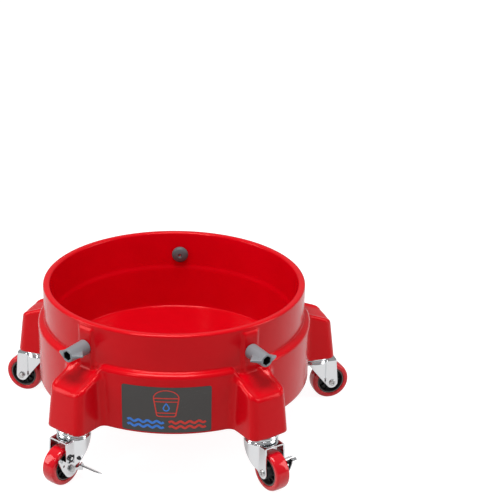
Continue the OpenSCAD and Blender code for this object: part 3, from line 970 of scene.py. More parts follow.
        foot[:, 2] = 0.0
        under.append(foot)
        top_points, top_faces = loft(rings, False, True)
        low_points, low_faces = loft(under, True, False)
        n = len(edge)
        shift = len(top_points)
        last = (len(under) - 1) * n + shift
        step = np.arange(n)
        after = (step + 1) % n
        bridge = np.stack([last + step, last + after, after, step], 1).tolist()
        faces = top_faces + [[i + shift for i in f] for f in low_faces] + bridge
        return new_mesh("tray_shell", np.vstack([top_points, low_points]), faces, TRAY_FRAME)

    def build(self, shop: Workshop) -> None:
        """Builds the tray's pieces.

        Args:
            shop: finishes the pieces.
        """
        shop.piece(
            "tray_shell", self.shell(), "root", Finishes.tray, ["dolly_body"], crease=60.0
        )
        self.build_ribs(shop)
        self.build_pod_cores(shop)

    def build_ribs(self, shop: Workshop) -> None:
        """The ribs and the ring under the floor."""
        low, high = 6.0, self.floor_under + 1.0
        inner = self.hub_ring_r - self.rib_t / 2
        outer = self.floor_r + self.wall / 2
        bm = slab([(inner, low), (outer, low), (outer, high), (inner, high)], self.rib_t)
        bm.transform(Matrix.Rotation(math.radians(90), 4, "X") @ Matrix.Translation((0, 0, -self.rib_t / 2)))
        bm.transform(Matrix.Scale(MM, 4))
        item = from_bmesh(bm, "rib_item", Matrix.Identity(4))
        ribs = run_tree(
            shop.ring, item, Matrix.Translation((0, 0, -FLOOR_RISE * MM)),
            Count=self.rib_count, Radius=0.0, Material=shop.material(Finishes.tray),
        )
        shop.piece("tray_floor_ribs", ribs, "root", Finishes.tray, edge=0.6)
        ring = rounded(
            [(inner - 1.5, 3), (inner + 1.5, 3), (inner + 1.5, high), (inner - 1.5, high)], [0.8, 0.8, 0, 0]
        )
        points, faces = lathe(ring, 96, True)
        mesh = new_mesh("tray_hub_ring", points, faces, TRAY_FRAME)
        shop.piece("tray_hub_ring", mesh, "root", Finishes.tray, crease=50.0)

    def build_pod_cores(self, shop: Workshop) -> None:
        """The boss and the crossed ribs inside every pod."""
        for n in range(1, LEG_COUNT + 1):
            bm = bmesh.new()
            tube = rounded(
                [(self.socket_r, 0.6), (self.boss_r, 0.6), (self.boss_r, 55), (self.socket_r, 55)],
                [0.5, 0.8, 0, 0]
            )
            points, faces = lathe(tube, 64, True)
            points = points + np.array([SWIVEL_R, 0, 0])
            top = points[:, 2] > 50
            points[top, 2] = self.ramp_z(points[top, 0]) - 2.6
            part = new_mesh("part", points, faces, Matrix.Identity(4))
            bm.from_mesh(part)
            lengthwise = [(154.5, 8), (210.3, 8), (204.6, 50.4), (172, 62), (154.5, 66.8)]
            across = [(-24.5, 8), (24.5, 8), (24.0, 48), (20.5, 55.4), (-20.5, 55.4), (-24.0, 48)]
            upright = Matrix.Rotation(math.radians(90), 4, "X")
            half = self.rib_t / 2
            for outline, turn in (
                (lengthwise, Matrix.Translation((0, half, 0)) @ upright),
                (
                    across,
                    Matrix.Translation((SWIVEL_R - half, 0, 0)) @ Matrix.Rotation(math.radians(90), 4, "Z") @ upright,
                ),
            ):
                for side in (-1, 1):
                    kept = self._one_side(outline, side, self.boss_r - 1.5, outline is across)
                    plate = slab(kept, self.rib_t)
                    plate.transform(turn)
                    sheet = bpy.data.meshes.new("sheet")
                    plate.to_mesh(sheet)
                    plate.free()
                    bm.from_mesh(sheet)
            mesh = from_bmesh(bm, "pod_core", Leg(n).frame())
            shop.piece(f"tray_pod_core_{n}", mesh, "root", Finishes.tray, edge=0.4,
                crease=60.0)

    @staticmethod
    def _one_side(outline: list, side: int, clear: float, across: bool) -> list:
        """The part of a rib's outline on one side of the boss.

        Args:
            outline: the whole rib's outline.
            side: 1 or -1.
            clear: distance from the boss's axis at which the rib starts.
            across: whether the rib runs along the rim.

        Returns:
            The part's outline, anticlockwise.
        """
        centre = 0.0 if across else SWIVEL_R
        cut = centre + side * clear
        kept = []
        n = len(outline)
        for i in range(n):
            p, q = outline[i], outline[(i + 1) % n]
            inside_p, inside_q = (p[0] - cut) * side >= 0, (q[0] - cut) * side >= 0
            if inside_p:
                kept.append(p)
            if inside_p != inside_q:
                share = (cut - p[0]) / (q[0] - p[0])
                kept.append((cut, p[1] + (q[1] - p[1]) * share))
        return kept


# ---------------------------------------------------------------- label


@dataclass
class Label:
    """The printed panel on the front of the skirt. Sizes in mm and degrees."""

    radius: float = 172.7
    half_angle: float = 17.9
    bottom: float = 2.5
    height: float = 60.5
    thickness: float = 0.45
    line: float = 1.5

    def wrap(self, x: Points, y: Points, lift: float) -> Points:
        """Puts flat points, x along the skirt and y up, on the panel's face."""
        angle = np.asarray(x, float) / self.radius
        r = self.radius + lift
        return np.stack([r * np.sin(angle), -r * np.cos(angle), np.asarray(y, float) + self.bottom], 1)

    def panel(self) -> bpy.types.Mesh:
        """The panel, rounded at its corners and edges."""
        half = math.radians(self.half_angle) * self.radius
        corner, rows = 3.0, 9
        near = corner * (1 - np.cos(np.linspace(0, math.pi / 2, 7)))
        x = np.concatenate([-half + near, np.linspace(-half + corner, half - corner, 50)[1:-1],
            half - near[::-1]])
        into = np.maximum(corner - (half - np.abs(x)), 0.0)
        low = corner - np.sqrt(np.maximum(corner**2 - into**2, 0.0))
        share = np.linspace(0, 1, rows)
        columns, faces = [], []
        for xi, li in zip(x, low):
            columns.append(np.stack([np.full(rows, xi), li + (self.height - 2 * li) * share], 1))
        flat = np.vstack(columns)
        n, many = len(flat), len(x)
        points = np.vstack([self.wrap(flat[:, 0], flat[:, 1], self.thickness),
            self.wrap(flat[:, 0], flat[:, 1], 0.04)])
        for i in range(many - 1):
            for j in range(rows - 1):
                a = i * rows + j
                faces.append([a, a + rows, a + rows + 1, a + 1])
                faces.append([n + a + 1, n + a + rows + 1, n + a + rows, n + a])
        rim = [i * rows for i in range(many)] + [(many - 1) * rows + j for j in range(1, rows)]
        rim += [i * rows + rows - 1 for i in range(many - 2, -1, -1)] + list(range(rows - 2, 0, -1))
        for a, b in zip(rim, rim[1:] + rim[:1]):
            faces.append([b, a, n + a, n + b])
        return new_mesh("label_panel", points, faces, TRAY_FRAME)

    def stroke(self, path: Sequence[Sequence[float]], width: float, looped: bool) -> tuple[Points, list]:
        """A flat band along a path on the panel's face.

        Args:
            path: the band's middle line.
            width: its width.
            looped: whether its end joins its start.

        Returns:
            The points and faces.
        """
        p = self._dense(np.array(path, float), looped)
        ahead = np.roll(p, -1, 0) - p
        behind = p - np.roll(p, 1, 0)
        if not looped:
            ahead[-1], behind[0] = behind[-1], ahead[0]
        way = ahead / np.linalg.norm(ahead, axis=1)[:, None] + behind / np.linalg.norm(behind, axis=1)[:, None]
        way /= np.linalg.norm(way, axis=1)[:, None]
        across = np.stack([-way[:, 1], way[:, 0]], 1) * width / 2
        left, right = p + across, p - across
        lift = self.thickness + 0.06
        rows = [self.wrap(side[:, 0], side[:, 1], lift) for side in (left, right)]
        points = np.vstack(rows)
        n = len(p)
        faces = []
        for i in range(n if looped else n - 1):
            k = (i + 1) % n
            faces.append([i, n + i, n + k, k])
        return points, faces

    def build(self, shop: Workshop) -> None:
        """Builds the panel and its plain drawing of a bucket over waves.

        Args:
            shop: finishes the pieces.
        """
        shop.piece("label_panel", self.panel(), "root", Finishes.label, ["front_label"])
        pail = rounded([(-11, 22), (11, 22), (15, 46), (-15, 46)], [2.5, 2.5, 1.0, 1.0], 5)
        handle = [(15 * math.cos(a), 46 + 10.5 * math.sin(a)) for a in np.linspace(0, math.pi, 25)]
        bands = [self.stroke(pail, self.line, True), self.stroke(handle, self.line * 0.8, False)]
        for y, half in ((41.5, 14.0), (26.5, 11.5)):
            bands.append(self.stroke([(-half, y), (half, y)], self.line * 0.8, False))
        shop.piece(
            "label_bucket", self._joined(bands, "label_bucket"), "root", Finishes.print_red
        )
        drop = [(0.0, 39.5)] + [
            (3.4 * math.sin(a), 33.0 - 3.4 * math.cos(a)) for a in np.radians(np.linspace(130, -130, 21))
        ]
        mesh = self._joined([self.stroke(drop, self.line, True)], "label_drop")
        shop.piece("label_drop", mesh, "root", Finishes.print_blue)
        for name, finish, height, start, end in (
            ("label_wave_blue", Finishes.print_blue, 14.0, -47.0, -3.0),
            ("label_wave_red", Finishes.print_red, 14.0, 3.0, 47.0),
            ("label_ripple_blue", Finishes.print_blue, 7.6, -47.0, -3.0),
            ("label_ripple_red", Finishes.print_red, 7.6, 3.0, 47.0),
        ):
            x = np.linspace(start, end, 60)
            path = np.stack([x, height + 1.4 * np.sin((x - start) * math.tau / 11)], 1)
            mesh = self._joined([self.stroke(path, 3.0, False)], name)
            shop.piece(name, mesh, "root", finish)

    @staticmethod
    def _dense(path: Points, looped: bool, step: float = 2.0) -> Points:
        """The path with points added, so that no part of it is longer than a step.

        Args:
            path: the path's points.
            looped: whether its end joins its start.
            step: the longest part allowed.

        Returns:
            The path with its added points.
        """
        out = []
        for i in range(len(path) if looped else len(path) - 1):
            a, b = path[i], path[(i + 1) % len(path)]
            parts = max(1, math.ceil(float(np.linalg.norm(b - a)) / step))
            out += [a + (b - a) * k / parts for k in range(parts)]
        if not looped:
            out.append(path[-1])
        return np.array(out)

    @staticmethod
    def _joined(bands: list, name: str) -> bpy.types.Mesh:
        """Several bands as one mesh."""
        points, faces, shift = [], [], 0
        for p, f in bands:
            points.append(p)
            faces += [[i + shift for i in face] for face in f]
            shift += len(p)
        return new_mesh(name, np.vstack(points), faces, TRAY_FRAME)


# ---------------------------------------------------------------- clamp screws


@dataclass
class ClampScrew:
    """A winged knob, its screw, its bush and its foot. Sizes in mm."""

    number: int
    leg: int
    screw: Screw
    knob_turn: float
    height: float = 95.0
    knob_home: float = 167.7
    knob_l: float = 31.0
    base_r: float = 9.5
    end_r: float = 8.1
    wing_r: float = 19.5
    wing_half_t: float = 1.8
    wing_tip_at: float = 24.0
    wing_back: float = 1.0
    wing_front: float = 1.5
    socket_af: float = 10.4
    socket_depth: float = 16.0
    foot_r: float = 11.0
    foot_t: float = 6.0
    bush_span: tuple[float, float, float] = (153.4, 154.8, 167.32)

    @property
    def place(self) -> Matrix:
        """The frame with z along the screw, outwards."""
        turn = Matrix(((0, 0, 1, 0), (0, 1, 0, 0), (-1, 0, 0, 0), (0, 0, 0, 1)))
        return Leg(self.leg).frame(0.0, self.height) @ turn

    @property
    def foot_back(self) -> float:
        """Distance of the foot's back from the tray's axis."""
        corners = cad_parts[f"clamp_{self.number}_foot"].data.vertices
        return min(self._along(v.co) for v in corners) + self.foot_t

    def _along(self, point: Vector) -> float:
        """How far out along the leg a point is, in mm."""
        turn = Leg(self.leg).turn
        return (point.x * math.sin(turn) - point.y * math.cos(turn)) / MM

    def knob(self) -> bpy.types.Mesh:
        """The knob as one skin, from its base round its wings to its socket."""
        length = self.knob_l
        fine = np.radians(np.concatenate([np.arange(0, 14, 2.0), np.arange(14, 22, 4.0),
            np.arange(22, 90, 8.0)]))
        quarter = np.concatenate([fine, [math.pi / 2]])
        angles = np.concatenate([quarter, (math.pi - quarter[::-1])[1:]])
        angles = np.concatenate([angles, angles[1:-1] + math.pi])
        end = length - np.array([2.2, 1.6, 1.1, 0.7, 0.35, 0.12])
        heights = np.concatenate([[0.0, 0.25, 0.9, 2, 4], np.arange(5.5, length - 2.4, 1.2), end])

        def gap(r: Points, a: Points, s: Points) -> Points:
            """Distance from the knob's skin."""
            cone_r = self.base_r + (self.end_r - self.base_r) * s / length
            barrel = round_cut(r - cone_r, s - length, 1.0)
            barrel = round_cut(barrel, -s, 0.8)
            out = np.abs(r * np.cos(a))
            thick = np.abs(r * np.sin(a)) - self.wing_half_t + (out - 8) * 0.03
            behind = np.maximum(self.wing_tip_at - s, 0) * self.wing_back
            ahead = np.maximum(s - self.wing_tip_at, 0) * self.wing_front
            tip = (out - self.wing_r + behind + ahead) * 0.6
            wing = round_cut(thick, round_cut(tip, s - length, 1.0), 1.0)
            return round_join(barrel, wing, 1.2)

        rings = []
        for s in heights:
            level = np.full_like(angles, s)
            r = np.full_like(angles, self.wing_r + 2)
            for _ in range(160):
                r = np.maximum(r - np.maximum(gap(r, angles, level), 0) * 0.9, 3.0)
            rings.append(np.stack([r * np.cos(angles), r * np.sin(angles), level], 1))
        for grow, s in ((0.9, 0.0), (0.35, 0.0), (0.1, 0.15), (0.0, 0.6), (0.0, self.socket_depth)):
            rings.append(self._hexagon(angles, grow, length - s))
        points, faces = loft(rings, True, True)
        return new_mesh("knob", points, faces, self.knob_place)

    @property
    def knob_place(self) -> Matrix:
        """The knob's frame, with z along the screw from the knob's base."""
        home = Matrix.Translation((0, 0, self.knob_home + self.screw.value))
        return self.place @ home @ Matrix.Rotation(math.radians(90 + self.knob_turn), 4, "Z")

    def _hexagon(self, angles: Points, grow: float, height: float) -> Points:
        """A ring on the socket's outline, moved out by grow, at a height."""
        side = math.pi / 3
        r = self.socket_af / 2 / np.cos((angles + side / 2) % side - side / 2) + grow
        r = np.minimum(r, self.end_r - 0.75)
        return np.stack([r * np.cos(angles), r * np.sin(angles), np.full_like(angles, height)], 1)

    def socket_lining(self) -> bpy.types.Mesh:
        """The near-black six-sided cup in the knob's end: painted shade in the deep socket, partly standing for the
        dark screw end inside it.
        """
        angles = np.radians(np.arange(0, 360, 10.0))
        length, deep = self.knob_l, self.socket_depth
        steps = ((-0.02, deep - 0.1), (-0.02, 0.9), (-0.12, 0.8), (-0.5, 0.9), (-0.5, deep - 1.0))
        rings = [self._hexagon(angles, grow, length - s) for grow, s in steps]
        points, faces = loft(rings, True, True)
        return new_mesh("socket_lining", points, faces, self.knob_place)

    def foot(self) -> bpy.types.Mesh:
        """The domed foot with the screw's hole in its middle."""
        r, t = self.foot_r, self.foot_t
        dome = [(1.5, -t + 2.4), (1.5, -t + 0.9), (2.3, -t + 0.3), (2.8, -t), (4.0, -t + 0.05),
            (6.0, -t + 0.4)]
        for a in np.radians(np.linspace(8, 90, 7)):
            dome.append((r - 0.2 - 4.2 * (1 - math.sin(a)), -1.5 - (t - 2.35) * math.cos(a)))
        dome += [(r, -1.2), (r, -0.3), (r - 0.3, 0.0), (3.4, 0.0), (3.4, -t + 2.4)]
        points, faces = lathe(dome, 64, True)
        return new_mesh("foot", points, faces, self.place @ Matrix.Translation((0, 0, self.foot_back)))

    def bush(self) -> bpy.types.Mesh:
        """The flanged bush that the screw turns in."""
        inner, flange, outer = self.bush_span
        profile = rounded(
            [(3.1, inner), (7.0, inner), (7.0, flange), (6.0, flange), (6.0, outer), (3.1, outer)],
            [0.4, 0.4, 0.0, 0.0, 0.3, 0.3], 3,
        )
        points, faces = lathe(profile, 48, True)
        return new_mesh("bush", points, faces, self.place)

    def thread(self, shop: Workshop, start: float, length: float) -> bpy.types.Mesh:
        """The raised turns of the screw's thread.

        Args:
            shop: holds the coil tree.
            start: distance of the thread's start from the tray's axis.
            length: the thread's length.

        Returns:
            The mesh.
        """
        place = self.place @ Matrix.Translation((0, 0, start)) @ Matrix.Scale(1 / MM, 4)
        return run_tree(
            shop.coil, bpy.data.meshes.new("none"), place,
            Turns=length, Radius=2.88 * MM, Length=length * MM, Wire_Radius=0.34 * MM,
            Material=shop.material(Finishes.steel),
        )

    def build(self, shop: Workshop) -> None:
        """Builds the clamp screw's pieces.

        Args:
            shop: finishes the pieces.
        """
        n = self.number
        turning, sliding = f"clamp_{n}_turn", f"clamp_{n}_slide"
        shop.piece(f"knob_{n}", self.knob(), turning, Finishes.knob,
            [f"clamp_{n}_knob"], crease=50.0)
        # the socket lining piece is painted shade: a near-black cup inside the knob's hex hole
        shop.piece(f"knob_socket_{n}", self.socket_lining(), turning, Finishes.socket,
            crease=40.0)
        shop.piece(f"foot_{n}", self.foot(), sliding, Finishes.foot,
            [f"clamp_{n}_foot"], crease=50.0)
        inserts = ["clamp_inserts"] if n == 1 else []
        shop.piece(f"bush_{n}", self.bush(), "root", Finishes.brass, inserts, crease=40.0)
        screw = f"clamp_{n}_screw"
        shop.piece(f"screw_{n}", node_copy(screw), turning, Finishes.steel, [screw],
            edge=0.25)
        begin = self.foot_back + 1.2
        shop.piece(
            f"screw_thread_{n}", self.thread(shop, begin, 172.0 + self.screw.value - begin), turning,
            Finishes.steel,
        )


# ---------------------------------------------------------------- casters


@dataclass
class Caster:
    """A swivel caster with a stamped fork. Sizes in mm."""

    number: int
    braked: bool
    trail: float = 23.5
    axle_drop: float = 44.0
    wheel_r: float = 25.2
    half_w: float = 9.3
    hub_r: float = 18.2
    ball_r: float = 2.4
    ball_ring_r: float = 14.0
    ball_z: float = -6.2
    ball_count: int = 12
    spoke_count: int = 10
    race_r: float = 21.0
    fork_front: float = 28.0
    fork_half: float = 14.2
    eye_r: float = 7.6
    sheet_t: float = 2.0

    @property
    def leg(self) -> Leg:
        """The leg that the caster stands under."""
        return Leg(self.number)

    @property
    def wheel_frame(self) -> Matrix:
        """The frame with z along the axle."""
        turn = Matrix.Rotation(math.radians(-90), 4, "X")
        return self.leg.frame(SWIVEL_R + self.trail, -self.axle_drop) @ turn

    def tread(self) -> bpy.types.Mesh:
        """The soft tyre, crowned and rounded at its shoulders."""
        r, half, hub = self.wheel_r, self.half_w, self.hub_r
        arc = [
            (r - 0.35 - 3.2 * (1 - math.cos(a)),
                half - 3.2 + 3.2 * math.sin(a)) for a in np.radians(np.linspace(0, 84, 8))
        ]
        crown = [(r, 0.0), (r - 0.04, half * 0.25), (r - 0.14, half * 0.45)]
        side = [(hub + 1.6, half), (hub + 0.5, half - 0.15), (hub, half - 0.9)]
        up = crown + arc + side
        profile = [(p[0], -p[1]) for p in up[:0:-1]] + up
        points, faces = lathe(profile, 112, True)
        return new_mesh("tread", points, faces, self.wheel_frame)

    def hub(self) -> bpy.types.Mesh:
        """The hub's turned body: rim, web and boss."""
        hub, rim, web = self.hub_r, self.half_w - 0.9, 3.4
        up = [
            (hub, rim - 0.3), (hub - 0.3, rim), (hub - 1.9, rim), (hub - 2.3, rim - 0.4),
            (hub - 3.1, web + 0.7),
            (hub - 3.9, web), (9.8, web), (9.1, web + 0.7), (8.2, 11.4), (7.9, 11.7), (5.4, 11.7),
            (5.05, 11.3),
        ]
        profile = up[::-1] + [(p[0], -p[1]) for p in up]
        points, faces = lathe(profile[::-1], 96, True)
        return new_mesh("hub", points, faces, self.wheel_frame)

    def hub_edges(self) -> bpy.types.Mesh:
        """The bare rings at both ends of the hub's rim."""
        hub, end = self.hub_r, self.half_w - 0.72
        ring = [(hub - 1.75, end - 0.1), (hub - 0.25, end - 0.1), (hub - 0.35, end), (hub - 1.65, end)]
        bm = bmesh.new()
        for side in (1, -1):
            points, faces = lathe(ring, 96, True)
            turn = Matrix.Rotation(math.pi if side < 0 else 0.0, 4, "X")
            bm.from_mesh(new_mesh("ring", points, faces, turn))
        return from_bmesh(bm, "hub_edges", self.wheel_frame)

    def spokes(self, shop: Workshop) -> bpy.types.Mesh:
        """The hub's radial ribs, on both sides of its web."""
        hub, rim = self.hub_r, self.half_w - 4.4
        outline = [(8.3, -7.0), (hub - 2.8, -rim), (hub - 2.8, rim), (8.3, 7.0)]
        bm = slab(outline, 1.3)
        bm.transform(Matrix.Scale(MM, 4) @ Matrix.Rotation(math.radians(90), 4, "X") @ Matrix.Translation((0, 0, -0.65)))
        item = from_bmesh(bm, "spoke", Matrix.Identity(4))
        return run_tree(
            shop.ring, item, self.wheel_frame @ Matrix.Scale(1 / MM, 4),
            Count=self.spoke_count, Radius=0.0, Material=shop.material(Finishes.hub),
        )

    def balls(self, shop: Workshop) -> bpy.types.Mesh:
        """The ring of bearing balls."""
        bm = bmesh.new()
        bmesh.ops.create_icosphere(bm, subdivisions=2, radius=self.ball_r * MM)
        bmesh.ops.translate(bm, vec=(0, 0, 0), verts=bm.verts)
        item = from_bmesh(bm, "ball", Matrix.Identity(4))
        place = self.leg.frame(SWIVEL_R, self.ball_z) @ Matrix.Scale(1 / MM, 4)
        return run_tree(
            shop.ring, item, place,
            Count=self.ball_count, Radius=self.ball_ring_r * MM, Material=shop.material(Finishes.ball),
        )

    def fork_edge(self) -> tuple[Points, Points, Points, Points]:
        """The fork's skirt on one side, from its front round to its back.

        Returns:
            For each point along it: x at the crown, x at the eye, the outside y, and the height of the lower edge.
        """
        eye = np.radians(np.concatenate([np.linspace(0, 141.3, 19)]))
        x_low = self.trail + self.eye_r * np.cos(eye)
        z_low = -self.axle_drop - self.eye_r * np.sin(eye)
        x_back, z_back = x_low[-1], z_low[-1]
        slant = np.linspace(x_back, -11.0, 26)[1:]
        rear = self.race_r * np.cos(np.radians(np.linspace(123, 178, 12)))
        x_low = np.concatenate([x_low, slant, rear])
        z_low = np.concatenate([z_low, z_back + (x_back - slant) * 1.25,
            np.full(len(rear), z_back + (x_back + 11.0) * 1.25)])
        share = np.clip((x_low - x_back) / (self.trail + self.eye_r - x_back), 0, 1)
        x_top = np.where(x_low > x_back, x_back + share * (self.fork_front - x_back), x_low)
        circle = np.sqrt(np.maximum(self.race_r**2 - x_low**2, 0.0))
        blend = np.clip((18.0 - x_low) / 8.0, 0, 1)
        blend = blend * blend * (3 - 2 * blend)
        y = np.where(x_low > 10.0,
            self.fork_half + (np.maximum(circle, self.fork_half) - self.fork_half) * blend, circle)
        return x_top, x_low, y, z_low

    def fork(self) -> bpy.types.Mesh:
        """The outside of the stamped fork: crown, folds and both cheeks, as one sheet."""
        x_top, x_low, y, z_low = self.fork_edge()
        count, fold, crown = len(x_top), 2.4, -9.3
        sides = []
        for side in (1, -1):
            path = np.stack([x_top, side * y], 1)
            way = np.gradient(path, axis=0)
            way /= np.linalg.norm(way, axis=1)[:, None]
            out = np.stack([-way[:, 1], way[:, 0]], 1) * -side
            out[:19] = (0.0, side)
            out[-1] = (-1.0, 0.0)
            rows = []
            for a in np.radians(np.linspace(90, 0, 6)):
                offset = fold * (math.cos(a) - 1)
                rows.append(np.column_stack([path + out * offset,
                    np.full(count, crown - fold + fold * math.sin(a))]))
            for k in np.linspace(0, 1, 10)[1:]:
                z = (crown - fold) + (z_low - crown + fold) * k
                slide = np.clip((crown - fold - z) / 32.0, 0, 1)
                x = x_top + (x_low - x_top) * slide
                rows.append(np.column_stack([x, side * y, z]))
            sides.append(np.stack(rows))
        levels = len(sides[0])
        points = np.vstack([part.reshape(-1, 3) for part in sides])
        faces = []
        half = levels * count
        for i in range(count - 1):
            faces.append([i, half + i, half + i + 1, i + 1][::-1])
            for k in range(levels - 1):
                a = k * count + i
                faces.append([a, a + 1, a + 1 + count, a + count])
                faces.append([half + a + 1, half + a, half + a + count, half + a + 1 + count])
        bm = bmesh.new()
        verts = [bm.verts.new(p) for p in points]
        for f in faces:
            bm.faces.new([verts[i] for i in f])
        for k in range(levels - 1):
            a, b = (k + 1) * count - 1, half + (k + 1) * count - 1
            bm.faces.new([verts[a], verts[b], verts[b + count], verts[a + count]])
        bmesh.ops.recalc_face_normals(bm, faces=bm.faces)
        top = max(bm.faces, key=lambda f: f.calc_center_median().z)
        if top.normal.z < 0:
            bmesh.ops.reverse_faces(bm, faces=bm.faces)
        mesh = bpy.data.meshes.new("fork")
        bm.to_mesh(mesh)
        bm.free()
        mesh.transform(self.leg.frame(SWIVEL_R))
        mesh.polygons.foreach_set("use_smooth", [True] * len(mesh.polygons))
        return mesh

    def lower_race(self) -> bpy.types.Mesh:
        """The raceway that turns with the fork, with its ball groove."""
        groove = [
            (self.ball_ring_r + 2.5 * math.cos(a),
                self.ball_z + 0.3 + 2.5 * math.sin(a)) for a in np.radians(np.linspace(-25, -155, 9))
        ]
        profile = [(4.7, -9.35), (20.4, -9.35), (20.7, -9.0), (20.3, -8.2), (19.6, -7.2), (19.2, -6.9),
            (18.8, -6.8), (16.6, -6.8)]
        profile += groove + [(11.4, -6.8), (4.7, -6.8)]
        points, faces = lathe(profile[::-1], 96, True)
        return new_mesh("lower_race", points, faces[::1], self.leg.frame(SWIVEL_R))

    def axle(self) -> bpy.types.Mesh:
        """The axle bolt, with a dimple in its rounded head."""
        back = self.wheel_frame.inverted()
        along = [(back @ v.co).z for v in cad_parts[f"caster_{self.number}_axle"].data.vertices]
        a, b = min(along), max(along)
        profile = [
            (0.01, a + 1.3), (1.5, a + 1.3), (1.8, a + 1.0), (1.95, a + 0.2), (2.3, a), (3.6, a + 0.12),
            (4.2, a + 0.55), (4.4, a + 1.1), (4.4, a + 1.9), (3.0, a + 1.9), (3.0, b - 0.5), (2.6, b),
            (0.01, b),
        ]
        points, faces = lathe(profile, 48, False)
        return new_mesh("axle", points, faces, self.wheel_frame)

    def stem(self) -> bpy.types.Mesh:
        """The still part: stem, upper raceway and king pin, turned in one."""
        cap = [(21.0 - 3.2 * (1 - math.cos(a)),
            -4.1 + 3.3 * math.sin(a)) for a in np.radians(np.linspace(0, 90, 8))]
        groove = [
            (self.ball_ring_r + 2.5 * math.cos(a),
                self.ball_z - 0.2 + 2.5 * math.sin(a)) for a in np.radians(np.linspace(155, 25, 9))
        ]
        profile = [(0.01, -14.2), (8.0, -14.2), (8.5, -13.9), (8.5, -12.1), (8.3, -11.9), (4.5, -11.9),
            (4.5, -5.7)]
        profile += [(11.0, -5.7)] + groove + [(17.2, -5.7), (20.6, -5.7), (21.3, -5.5), (21.5, -5.1),
            (21.3, -4.7), (21.0, -4.3)]
        profile += cap + [(13.0, -0.8), (12.8, -0.1), (5.0, -0.05), (5.0, 35.2), (4.4, 35.8), (0.01, 35.8)]
        points, faces = lathe(profile, 96, False)
        return new_mesh("stem", points, faces, self.leg.frame(SWIVEL_R))

    def build(self, shop: Workshop) -> None:
        """Builds the caster's pieces.

        Args:
            shop: finishes the pieces.
        """
        n = self.number
        swivel, wheel = f"swivel_{n}", f"wheel_{n}"
        node = f"caster_{n}_"
        shop.piece(f"tread_{n}", self.tread(), wheel, Finishes.tread, [node + "tread"],
            crease=60.0)
        shop.piece(f"hub_{n}", self.hub(), wheel, Finishes.hub, [node + "hub"], crease=40.0)
        shop.piece(f"hub_edges_{n}", self.hub_edges(), wheel, Finishes.hub_edge, crease=50.0)
        shop.piece(f"hub_ribs_{n}", self.spokes(shop), wheel, Finishes.hub, edge=0.3)
        shop.piece(f"bearing_balls_{n}", self.balls(shop), swivel, Finishes.ball,
            [node + "balls"])
        fork = shop.piece(f"fork_{n}", self.fork(), swivel, Finishes.chrome,
            [node + "fork"], crease=180.0)
        wall = fork.modifiers.new("wall", "SOLIDIFY")
        wall.thickness = self.sheet_t * MM
        wall.offset = -1.0
        edge = fork.modifiers.new("edge", "BEVEL")
        edge.width = 0.4 * MM
        edge.segments = 2
        edge.limit_method = "ANGLE"
        edge.angle_limit = math.radians(50)
        shop.piece(f"fork_race_{n}", self.lower_race(), swivel, Finishes.chrome, crease=40.0)
        shop.piece(f"stem_{n}", self.stem(), "root", Finishes.chrome, [node + "stem"],
            crease=40.0)
        shop.piece(f"axle_{n}", self.axle(), swivel, Finishes.steel, [node + "axle"],
            crease=35.0)
        shop.piece(f"nut_{n}", node_copy(node + "nut"), swivel, Finishes.steel,
            [node + "nut"], edge=0.35)
        shop.dress_node(node + "sleeve", Finishes.steel)


@dataclass
class Brake:
    """The foot lever on a braked caster, with its coil and stop. Sizes in mm."""

    number: int
    leg: int
    coil_turns: float = 3.2
    coil_r: float = 3.5
    wire_r: float = 0.5
    post_h: float = 2.4

    @property
    def spring_frame(self) -> Matrix:
        """The frame with z along the spring's axis, outwards from the cheek."""
        back = Leg(self.leg).frame(SWIVEL_R).inverted()
        corners = np.array([back @ v.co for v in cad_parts[f"brake_{self.number}_spring"].data.vertices])
        low, high = corners.min(0), corners.max(0)
        middle = (low + high) / 2
        turn = Matrix.Rotation(math.radians(-90), 4, "X")
        place = Matrix.Translation((middle[0], low[1] + self.wire_r, middle[2]))
        return Leg(self.leg).frame(SWIVEL_R) @ place @ turn

    def build(self, shop: Workshop) -> None:
        """Builds the brake's pieces.

        Args:
            shop: finishes the pieces.
        """
        n, swivel = self.number, f"swivel_{self.leg}"
        lever = f"brake_{n}_lever"
        shop.piece(
            f"brake_lever_{n}", node_copy(lever), f"brake_{n}", Finishes.chrome, [lever],
            edge=0.3
        )
        spring = f"brake_{n}_spring"
        coil = run_tree(
            shop.coil, bpy.data.meshes.new("none"), self.spring_frame @ Matrix.Scale(1 / MM, 4),
            Turns=self.coil_turns, Radius=self.coil_r * MM, Length=1.7 * MM, Wire_Radius=self.wire_r * MM,
            Material=shop.material(Finishes.dark),
        )
        shop.piece(f"brake_coil_{n}", coil, swivel, Finishes.dark, [spring])
        top = self.post_h
        profile = [(0.01, -0.4), (2.3, -0.4), (2.3, top - 0.7), (2.0, top - 0.3), (1.2, top),
            (0.01, top + 0.05)]
        points, faces = lathe(profile, 40, False)
        post = new_mesh("post", points, faces, self.spring_frame)
        shop.piece(f"brake_post_{n}", post, swivel, Finishes.chrome, crease=40.0)
        shop.dress_node(f"brake_{n}_rivet", Finishes.dark)


# ---------------------------------------------------------------- studio


@dataclass(frozen=True)
class Softbox:
    """A soft rectangular light.

    Attributes:
        name: the light's name.
        place: where it stands, in metres.
        size: its width and height, in metres.
        power: its power, in watts.
    """

    name: str
    place: tuple[float, float, float]
    size: tuple[float, float]
    power: float

    def hang(self) -> None:
        """Adds the light, aimed at the tray."""
        data = bpy.data.lights.new(self.name, "AREA")
        data.shape = "RECTANGLE"
        data.size, data.size_y = self.size
        data.energy = self.power
        lamp = bpy.data.objects.new(self.name, data)
        bpy.context.scene.collection.objects.link(lamp)
        lamp.location = self.place
        lamp.rotation_mode = "QUATERNION"
        lamp.rotation_quaternion = Vector(self.place).to_track_quat("Z", "Y")


